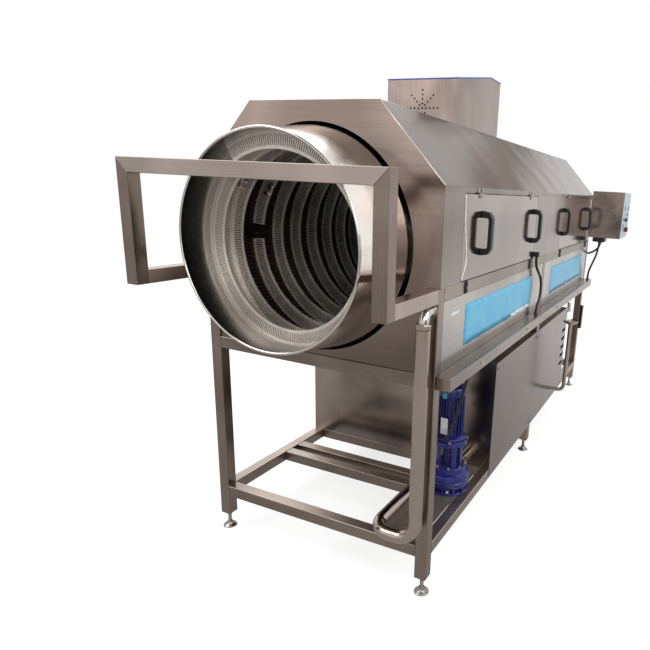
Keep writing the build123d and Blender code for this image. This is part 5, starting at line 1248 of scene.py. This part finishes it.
def pump_bolts():
    ends = (FIRST_BOLT_ANGLE, FIRST_BOLT_ANGLE + 360)
    spots = [((*around(VOLUTE_BOLT_CIRCLE, a), VOLUTE_TOP_Z + LANTERN_FLANGE), UP) for a in range(*ends, 45)]
    spots += [((*around(LANTERN_BOLT_CIRCLE, a), LANTERN_TOP_Z), UP) for a in range(*ends, 90)]
    for x, way in ((NOZZLE_X, -1), (PUMP[0], 1)):
        y = PUMP[1] + way * (NOZZLE_REACH + 2 * FLANGE_LENGTH)
        spots += [((x + sx * FLANGE_BOLT_OFFSET, y, NOZZLE_Z + sz * FLANGE_BOLT_OFFSET), (0, way, 0))
                  for sz in (1, -1) for sx in (1, -1)]
    fasteners("pump_bolts", spots, 6.5, ZINC, height=7.0, washer=1.3)
    spots = [((*around(BASE_BOLT_CIRCLE, a), PUMP_BASE_TOP_Z), UP) for a in BASE_BOLT_ANGLES]
    fasteners("base_bolts", spots, 9.0, CHROME, slot="polished_steel", height=12.0, washer=1.35)


def name_plate():
    """Blank plate and a cyan plug on the pump's motor."""
    bm = bmesh.new()
    add_radial(bm, NAME_PLATE_ANGLE, *NAME_PLATE)
    piece("blank_plate", bm, PLATE_WHITE, slot="lamp_plastic", bevel=0.6)
    bm = bmesh.new()
    add_radial(bm, PLUG_ANGLE, *PLUG)
    piece("cyan_plug", bm, CYAN, slot="lamp_plastic", bevel=4.0)


# Pipes

def water_pipes():
    """Delivery pipe up to the spray inlet, and the suction pipe from the tank."""
    start = PUMP[1] - NOZZLE_REACH
    points = [(NOZZLE_X, start, NOZZLE_Z), (NOZZLE_X, RISER_Y, NOZZLE_Z), (LEG_X, RISER_Y, NOZZLE_Z),
              (LEG_X, RISER_Y, RISER_TOP_Z)]
    pipe_piece("riser", points, PIPE_RADIUS, PIPE_BEND, PIPE_STEEL, 48, slot="polished_steel",
               stands_for=["delivery_pipe"], angle=50.0)
    rear = PUMP[1] + NOZZLE_REACH
    flange = disc(FLANGE_RADIUS, FLANGE_LENGTH, 1)
    bm = bmesh.new()
    add_turned(bm, flange, (NOZZLE_X, start - FLANGE_LENGTH, NOZZLE_Z), "Y", 40)
    add_turned(bm, flange, (PUMP[0], rear, NOZZLE_Z), "Y", 40)
    add_rod(bm, PIPE_RADIUS, (PUMP[0], rear + FLANGE_LENGTH - 1, NOZZLE_Z),
            TANK_FRONT_Y + SHEET - (rear + FLANGE_LENGTH - 1), "Y", 40)
    piece("pipe_flanges", bm, PIPE_STEEL, slot="polished_steel", stands_for=["suction_pipe"], angle=40.0)
    inlet = [(0, 0), (SPRAY_INLET_RADIUS - 1, 0), (SPRAY_INLET_RADIUS, 2), (SPRAY_INLET_RADIUS, 8),
             (SPRAY_INLET_RADIUS - 1, 10), (0, 10)]
    bm = bmesh.new()
    add_turned(bm, disc(UNION_RADIUS, UNION_HEIGHT, UNION_EASE), (LEG_X, RISER_Y, RISER_TOP_Z), sides=6)
    add_turned(bm, inlet, (LEG_X, SPRAY_INLET_Y, SPRAY_INLET_Z), "Y", 40)
    piece("union_nut", bm, PIPE_STEEL, slot="polished_steel", stands_for=["delivery_elbow"], bevel=1.0)
    points = [(LEG_X, RISER_Y, RISER_TOP_Z + UNION_HEIGHT - 2), (LEG_X, RISER_Y, SPRAY_INLET_Z),
              (LEG_X, SPRAY_INLET_Y, SPRAY_INLET_Z)]
    pipe_piece("elbow", points, ELBOW_RADIUS, ELBOW_BEND, CHROME, 40, slot="polished_steel", angle=50.0)


def drip():
    """Pipe with a funnel that shows the tank's overflow."""
    points = [(TUB_HALF_WIDTH, DRIP_Y, DRIP_Z), (DRIP_X, DRIP_Y, DRIP_Z), (DRIP_X, DRIP_Y, DRIP_TOP_Z)]
    pipe_piece("drip_tube", points, DRIP_RADIUS, DRIP_BEND, PIPE_STEEL, 36, slot="polished_steel",
               stands_for=["drip_pipe"], angle=50.0)
    cup = [(0, 3), (12, 4), (38, 14), (45, 20), (46, 28), (47, 29), (48, 28), (47, 18), (39, 11), (14, 0),
           (12.6, -8), (0, -8)]
    turned_piece("drip_cup", cup, (DRIP_X, DRIP_Y, DRIP_TOP_Z), PIPE_STEEL, slot="polished_steel", angle=40.0)


def rear_fittings():
    """Chrome drain elbow below the tub and a closed junction box on the rear leg."""
    points = [(DRAIN_INNER_X, DRAIN_Y, DRAIN_Z), (DRAIN_X, DRAIN_Y, DRAIN_Z),
              (DRAIN_X, DRAIN_Y, DRAIN_NUT_Z + 10)]
    pipe_piece("drain_elbow", points, DRAIN_RADIUS, DRAIN_BEND, CHROME, 28, slot="polished_steel", angle=50.0)
    nut = disc(DRAIN_NUT_RADIUS, DRAIN_NUT_RADIUS, 3)
    turned_piece("drain_nut", nut, (DRAIN_X, DRAIN_Y, DRAIN_NUT_Z), CHROME, 8, slot="polished_steel",
                 bevel=0.8)
    box_piece("junction_box", [JUNCTION_BOX], BLACK, slot="black_plastic", bevel=4.0)


# Cables

def held_cable(name, route, radius):
    """Cable held at both ends, on one smooth line."""
    curve = bpy.data.curves.new(name, "CURVE")
    curve.dimensions = "3D"
    line = curve.splines.new("NURBS")
    line.points.add(len(route) - 1)
    for point, spot in zip(line.points, route):
        point.co = (*at(*spot), 1.0)
    line.order_u = 3
    line.use_endpoint_u = True
    line.resolution_u = 8
    curve.bevel_depth = radius * MM
    curve.bevel_resolution = 5
    curve.use_fill_caps = True
    curve.materials.append(CABLE)
    obj = put(name, curve)
    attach(obj, "frame")
    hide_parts("cables")


def cable_glands():
    """Glands at the cables' ends, the shroud under the cabinet and the conduit's box."""
    gland = [(0, 0), (12, 0), (12, 5), (10.5, 6.5), (10, 10), (8.6, 12), (0, 12)]
    hanging_gland = [(r, -1.33 * h) for r, h in gland]
    bm = bmesh.new()
    for x, y, z in (CONDUIT_ROUTE[-1], LEDGE_CABLE_ROUTE[-1]):
        add_turned(bm, gland, (x, y, LEDGE_TOP_Z), sides=20)
    for x, y, z in (LEDGE_CABLE_ROUTE[0], LEG_CABLE_ROUTE[0]):
        add_turned(bm, hanging_gland, (x, y, SHROUD_Z), sides=20)
    piece("glands", bm, BLACK, slot="cable_rubber", stands_for=["cables"], angle=40.0)
    shroud = (*SHROUD, SHROUD_Z, CABINET_BOTTOM_Z)
    box_piece("cable_shroud", [shroud], BLACK, slot="cable_rubber", bevel=7.0)
    x, y, z = CONDUIT_ROUTE[0]
    box = (HOOD_HALF, HOOD_HALF + CONDUIT_BOX, y - CONDUIT_BOX / 2, y + CONDUIT_BOX / 2, z, z + CONDUIT_BOX)
    box_piece("conduit_box", [box], BLACK, slot="cable_rubber", bevel=2.5)


# Films, covers and panel

def film_patch(name, x, ys, zs, finish, ragged, seed):
    """Thin film on a face that looks to +X, with a torn edge."""
    draw = random.Random(seed)
    columns = max(8, int((ys[1] - ys[0]) / FILM_CELL))
    bm = bmesh.new()
    grid = []
    for i in range(columns + 1):
        low = draw.uniform(-ragged, ragged)
        high = draw.uniform(-ragged, ragged)
        line = []
        for j in range(FILM_ROWS + 1):
            y = ys[0] + (ys[1] - ys[0]) * i / columns
            if i in (0, columns):
                y += draw.uniform(-ragged, ragged)
            z = zs[0] + low + (zs[1] + high - zs[0] - low) * (j / FILM_ROWS)
            line.append(bm.verts.new(at(x + FILM_LIFT + draw.uniform(0, FILM_RIPPLE), y, z)))
        grid.append(line)
    for near, far in zip(grid, grid[1:]):
        for j in range(FILM_ROWS):
            bm.faces.new((near[j], far[j], far[j + 1], near[j + 1]))
    thicken(piece(name, bm, finish, slot="panel_steel", angle=60.0), FILM_SHEET)


def films():
    film_patch("film_front", FILM_FACE_X, (262, 1222), FILM_ZS, FILM, FILM_TEAR, 3)
    film_patch("film_rear", FILM_FACE_X, (1672, 2676), FILM_ZS, FILM, FILM_TEAR, 5)
    # Pale film strips where the panel shows white marks: thin film, and in part a painted highlight
    film_patch("pale_film_mark", FILM_FACE_X, (118, 206), (1112, 1121), PALE_FILM, FILM_TEAR, 9)
    film_patch("pale_film_edge", FILM_FACE_X + 0.7, (880, 1212), (968, 984), PALE_FILM, PALE_EDGE_TEAR, 11)
    edge = [(BOX_LEFT_X, BOX_FRONT_Y, BOX_FRONT_Z), (BOX_RIGHT_X, BOX_FRONT_Y, BOX_FRONT_Z),
            (BOX_RIGHT_X, BOX_BREAK_Y, BOX_REAR_Z), (BOX_RIGHT_X, BOX_REAR_Y, BOX_REAR_Z)]
    pipe_piece("box_edge_film", edge, 3.0, 2.0, EDGE_FILM, 8, 3, slot="panel_steel", angle=60.0)


def cover_returns():
    """Folded rear and top edges of the tank covers, which close the space behind them, and bright rods along
    their front and top edges, a painted highlight along the folds.
    """
    face = HALF - 0.5
    bm = bmesh.new()
    for side in SIDES.values():
        fold = easy_corners([(side * face, COVER_REAR_Y - COVER_RETURN), (side * face, COVER_REAR_Y),
                             (side * TUB_HALF_WIDTH, COVER_REAR_Y)], COVER_FOLD)
        add_prism(bm, sheet_outline(fold, -side * SHEET), along_z, BASE_RAIL_TOP_Z + 4, COVER_TOP_Z)
    piece("cover_returns", bm, COVER_STEEL, slot="hood_steel", angle=30.0)
    leg = LEG_YS[1]
    spans = ((COVER_FRONT_Y + 4, leg - 2), (leg + TUBE + 2, COVER_REAR_Y - SHEET))
    tops = [(*sorted((side * (TUB_HALF_WIDTH + 0.2), side * (HALF - 0.2))), near, far, COVER_TOP_Z - SHEET,
             COVER_TOP_Z) for side in SIDES.values() for near, far in spans]
    box_piece("cover_tops", tops, FLOOR_STEEL, slot="hood_steel", bevel=0.6)
    # Painted highlight: thin bright rods along each cover's front and top edges
    for name, side in SIDES.items():
        x = side * (HALF + SHEET / 2)
        line = [(x, COVER_FRONT_Y, BASE_RAIL_Z + 12), (x, COVER_FRONT_Y, COVER_TOP_Z + SHEET),
                (x, COVER_REAR_Y, COVER_TOP_Z + SHEET)]
        pipe_piece(f"cover_glint_{name}", line, COVER_GLINT, COVER_FOLD, PIPE_STEEL, 8, slot="hood_steel",
                   angle=60.0)


def operator_panel():
    """Overlay with blank fields on the cabinet's door, and the selector's pointer."""
    margin_y, margin_z = PANEL_MARGIN
    overlay = (PANEL_X, PANEL_X + PANEL_SHEET, CABINET_FRONT_Y + margin_y, CABINET_REAR_Y - margin_y,
               CABINET_BOTTOM_Z + margin_z, CABINET_TOP_Z - margin_z)
    box_piece("panel_overlay", [overlay], PANEL_BLUE, "cabinet_door", "lamp_plastic", bevel=0.4)
    middle = (CABINET_FRONT_Y + CABINET_REAR_Y) / 2
    fields = [(PANEL_X + 0.8, PANEL_X + 1.6, middle + y - FIELD_WIDTH / 2, middle + y + FIELD_WIDTH / 2,
               CABINET_BOTTOM_Z + z, CABINET_BOTTOM_Z + z + height)
              for y in (-FIELD_Y, FIELD_Y) for z, height in FIELD_ROWS]
    box_piece("panel_fields", fields, INK, "cabinet_door", "black_plastic", bevel=0.2)
    low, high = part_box("selector_knob")
    centre = (low + high) / 2
    bm = bmesh.new()
    corners = [(high.x + dx * MM, centre.y + dy * MM, centre.z + dz * MM)
               for dx in (-0.3, 0.6) for dy in (-1.6, 1.6) for dz in (1.0, 8.5)]
    bmesh.ops.convex_hull(bm, input=[bm.verts.new(c) for c in corners])
    piece("selector_mark", bm, PLATE_WHITE, "selector_knob", "lamp_plastic", bevel=0.2)


def small_fasteners():
    spots = [((side * (HALF + SHEET), y, z), (side, 0, 0))
             for side in SIDES.values() for y in COVER_SCREW_YS for z in COVER_SCREW_ZS]
    fasteners("cover_screws", spots, 4.0, ZINC, height=3.5, washer=1.5)
    spots = [((LEDGE_REACH, y, MID_RAIL_Z + TUBE / 2), (1, 0, 0)) for y in LEDGE_BOLT_YS]
    fasteners("ledge_bolts", spots, 6.0, CHROME, height=5.0)
    spots = [((side * (HALF + CATCH_REACH), y, z), (side, 0, 0))
             for side in SIDES.values() for y in CATCH_YS for z in CATCH_SCREW_ZS]
    fasteners("catch_screws", spots, 3.0, BLACK, slot="black_plastic", sides=16, height=2.0, washer=1.05)


FINISHES = {
    "hood_front_plate": PLATE_STEEL, "hood_rear_plate": PLATE_STEEL, "hood_side_bands": BAND_STEEL,
    "door_hinges": BAND_STEEL, "door_catches": BLACK, "tub_trough": TUB_STEEL, "tub_side_panels": PANEL_STEEL,
    "water_tank": TANK_STEEL, "tank_covers": COVER_STEEL, "inlet_ring": SHADED_SHELL_STEEL, "riding_rings": GEAR,
    "ring_gear": GEAR, "drive_pinion": GEAR, "drive_gearmotor": DRIVE_GREY, "drive_rails": ZINC,
    "top_box": BOX_STEEL, "roller_supports": GEAR, "spray_pipe": PIPE_STEEL, "floor_plate": FLOOR_STEEL,
    "pump_impeller": GEAR, "feed_chute": TUB_STEEL, "cabinet_bracket": LEG_STEEL,
    "cabinet_body": CABINET_STEEL, "cabinet_door": CABINET_STEEL, "start_button": GREEN, "stop_button": RED,
    "emergency_stop": RED, "selector_knob": BLACK, "panel_lamps": LAMP,
    **{f"roller_{end}_{name}": NYLON for end in ENDS for name in SIDES},
}


def carried_over():
    """Finishes of the CAD nodes that are shown as they are."""
    for node, finish in FINISHES.items():
        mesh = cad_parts[node].data
        mesh.materials.clear()
        mesh.materials.append(finish)


# Studio

CAMERA_PLACE = (1268.42, -1703.36, 1549.76)
CAMERA_YAW = -22.5647
CAMERA_PITCH = -15.1562
CAMERA_ROLL = 3.1202
FOCAL_PIXELS = 559.871
CENTRE_PIXEL = (448.292, 341.715)
PICTURE = 650.0
SENSOR = 36.0
FARTHEST_SIGHT = 200.0
WHITE = (1, 1, 1, 1)
DAYLIGHT = 0.62
FLOOR_REACH = 40000.0


def camera():
    yaw, pitch, roll = (math.radians(a) for a in (CAMERA_YAW, CAMERA_PITCH, CAMERA_ROLL))
    ahead = Vector((math.sin(yaw) * math.cos(pitch), math.cos(yaw) * math.cos(pitch), math.sin(pitch)))
    level = Vector((math.cos(yaw), -math.sin(yaw), 0))
    upright = level.cross(ahead)
    right = level * math.cos(roll) + upright * math.sin(roll)
    up = upright * math.cos(roll) - level * math.sin(roll)
    data = bpy.data.cameras.new("camera")
    data.sensor_width = SENSOR
    data.lens = FOCAL_PIXELS / PICTURE * SENSOR
    data.shift_x = (PICTURE / 2 - CENTRE_PIXEL[0]) / PICTURE
    data.shift_y = (CENTRE_PIXEL[1] - PICTURE / 2) / PICTURE
    data.clip_end = FARTHEST_SIGHT
    obj = put("camera", data)
    turn = Matrix((right, up, -ahead)).transposed().to_4x4()
    obj.matrix_world = Matrix.Translation(at(*CAMERA_PLACE)) @ turn
    bpy.context.scene.camera = obj


def aimed(place, target):
    """Place and turn of a lamp or card that looks at a target."""
    aim = at(*target) - at(*place)
    return Matrix.Translation(at(*place)) @ aim.to_track_quat("-Z", "Y").to_matrix().to_4x4()


def lamp(name, place, target, size, watts):
    data = bpy.data.lights.new(name, "AREA")
    data.shape = "RECTANGLE"
    data.size = size
    data.size_y = size
    data.energy = watts
    put(name, data).matrix_world = aimed(place, target)


def stage_sheet(name, corners, finish):
    """Flat sheet of the studio."""
    bm = bmesh.new()
    bm.faces.new([bm.verts.new(c) for c in corners])
    mesh = mesh_of(bm, name)
    mesh.materials.append(finish)
    return put(name, mesh)


def card(name, place, target, size, tone):
    """Dark flag that only reflections see."""
    made = bpy.data.materials.new(name)
    g = fresh_graph(made)
    glow = g.node("ShaderNodeEmission", {}, {"Color": srgb(*tone), "Strength": 1.0})
    g.node("ShaderNodeOutputMaterial", {}, {"Surface": glow})
    turned = aimed(place, target)
    corners = [turned @ Vector((sx * size[0] / 2, sy * size[1] / 2, 0)) for sx, sy in FOUR_CORNERS]
    obj = stage_sheet(name, corners, made)
    obj.visible_camera = False
    obj.visible_shadow = False
    obj.visible_diffuse = False


def daylight():
    """Even light that the camera and reflections see as white."""
    world = bpy.data.worlds.new("studio")
    bpy.context.scene.world = world
    g = fresh_graph(world)
    rays = [g.node("ShaderNodeLightPath", out=f"Is {kind} Ray")
            for kind in ("Camera", "Glossy", "Transmission")]
    seen = rays[0] + rays[1] + rays[2] > 0.5
    white = g.node("ShaderNodeBackground", {}, {"Color": WHITE, "Strength": 1.0})
    soft = g.node("ShaderNodeBackground", {}, {"Color": WHITE, "Strength": DAYLIGHT})
    both = g.node("ShaderNodeMixShader", {}, {0: seen, 1: soft, 2: white})
    g.node("ShaderNodeOutputWorld", {}, {"Surface": both})


def floor():
    """White paper, which steel mirrors darker in front of the machine and brighter beside it."""
    made = bpy.data.materials.new("floor_paper")
    g = fresh_graph(made)
    camera_ray = g.node("ShaderNodeLightPath", out="Is Camera Ray")
    glossy_ray = g.node("ShaderNodeLightPath", out="Is Glossy Ray")
    along = g.along("Y")
    colour = g.mix(camera_ray, (0.5, 0.49, 0.48, 1), (0.86, 0.86, 0.86, 1))
    paper = g.node("ShaderNodeBsdfDiffuse", {}, {"Color": colour})
    ahead = g.mix(g.spread(along, -18.0, -4.0), (1.0, 0.98, 0.96, 1), (0.54, 0.52, 0.5, 1))
    mirrored = g.mix(g.spread(along, -1.0, 3.0), ahead, (1.3, 1.29, 1.28, 1))
    shine = g.mix(camera_ray, mirrored, (1.5, 1.5, 1.5, 1))
    glow = g.node("ShaderNodeEmission", {}, {"Color": shine, "Strength": 1.0})
    both = g.node("ShaderNodeMixShader", {}, {0: 0.5 * camera_ray + 0.6 * glossy_ray, 1: paper, 2: glow})
    g.node("ShaderNodeOutputMaterial", {}, {"Surface": both})
    corners = [at(sx * FLOOR_REACH, sy * FLOOR_REACH, 0) for sx, sy in FOUR_CORNERS]
    stage_sheet("floor", corners, made)


def studio():
    daylight()
    floor()
    lamp("key_lamp", (-3800, -2600, 5600), (0, 600, 1000), 4.0, 150)
    lamp("side_lamp", (5200, -200, 4200), (300, 1200, 1000), 4.0, 140)
    lamp("rear_lamp", (-3200, 5200, 5200), (0, 1800, 1200), 4.0, 60)
    lamp("front_lamp", (3200, -3800, 3600), (-100, 200, 1250), 2.4, 45)
    card("rear_flag", (-300, 8000, 4050), (0, 1200, 1690), (6.0, 1.0), (164, 151, 142))
    card("ceiling_flag", (900, -900, 4400), (900, -900, 0), (3.2, 3.0), (70, 61, 55))
    card("left_flag", (-3600, -1200, 1500), (0, 0, 1300), (1.2, 3.4), (128, 117, 109))
    card("right_flag", (4600, -1800, 900), (400, 0, 1000), (1.6, 2.4), (84, 74, 68))


camera()
studio()
held_cable("conduit", CONDUIT_ROUTE, CONDUIT_RADIUS)
held_cable("ledge_cable", LEDGE_CABLE_ROUTE, CABLE_RADIUS)
held_cable("leg_cable", LEG_CABLE_ROUTE, CABLE_RADIUS)
held_cable("pump_cable", PUMP_CABLE_ROUTE, CONDUIT_RADIUS)
cable_glands()
tube_frame()
guard()
ledge()
welds()
feet()
roof()
hood_edges()
for end in ENDS:
    for name, side in SIDES.items():
        mark = f"{end}_{name}"
        place = door_map(end, side)
        door_tray(mark, place, side)
        door_glint(mark, place)
        door_knuckles(mark, place)
        grips(mark, place)
        hinge_screws(mark, place, side)
collar()
flight()
shell()
pump_body()
pump_drive()
pump_bolts()
name_plate()
water_pipes()
drip()
cover_returns()
films()
operator_panel()
mouth_bolts()
rear_fittings()
small_fasteners()
carried_over()

bpy.context.scene.view_settings.view_transform = "Standard"
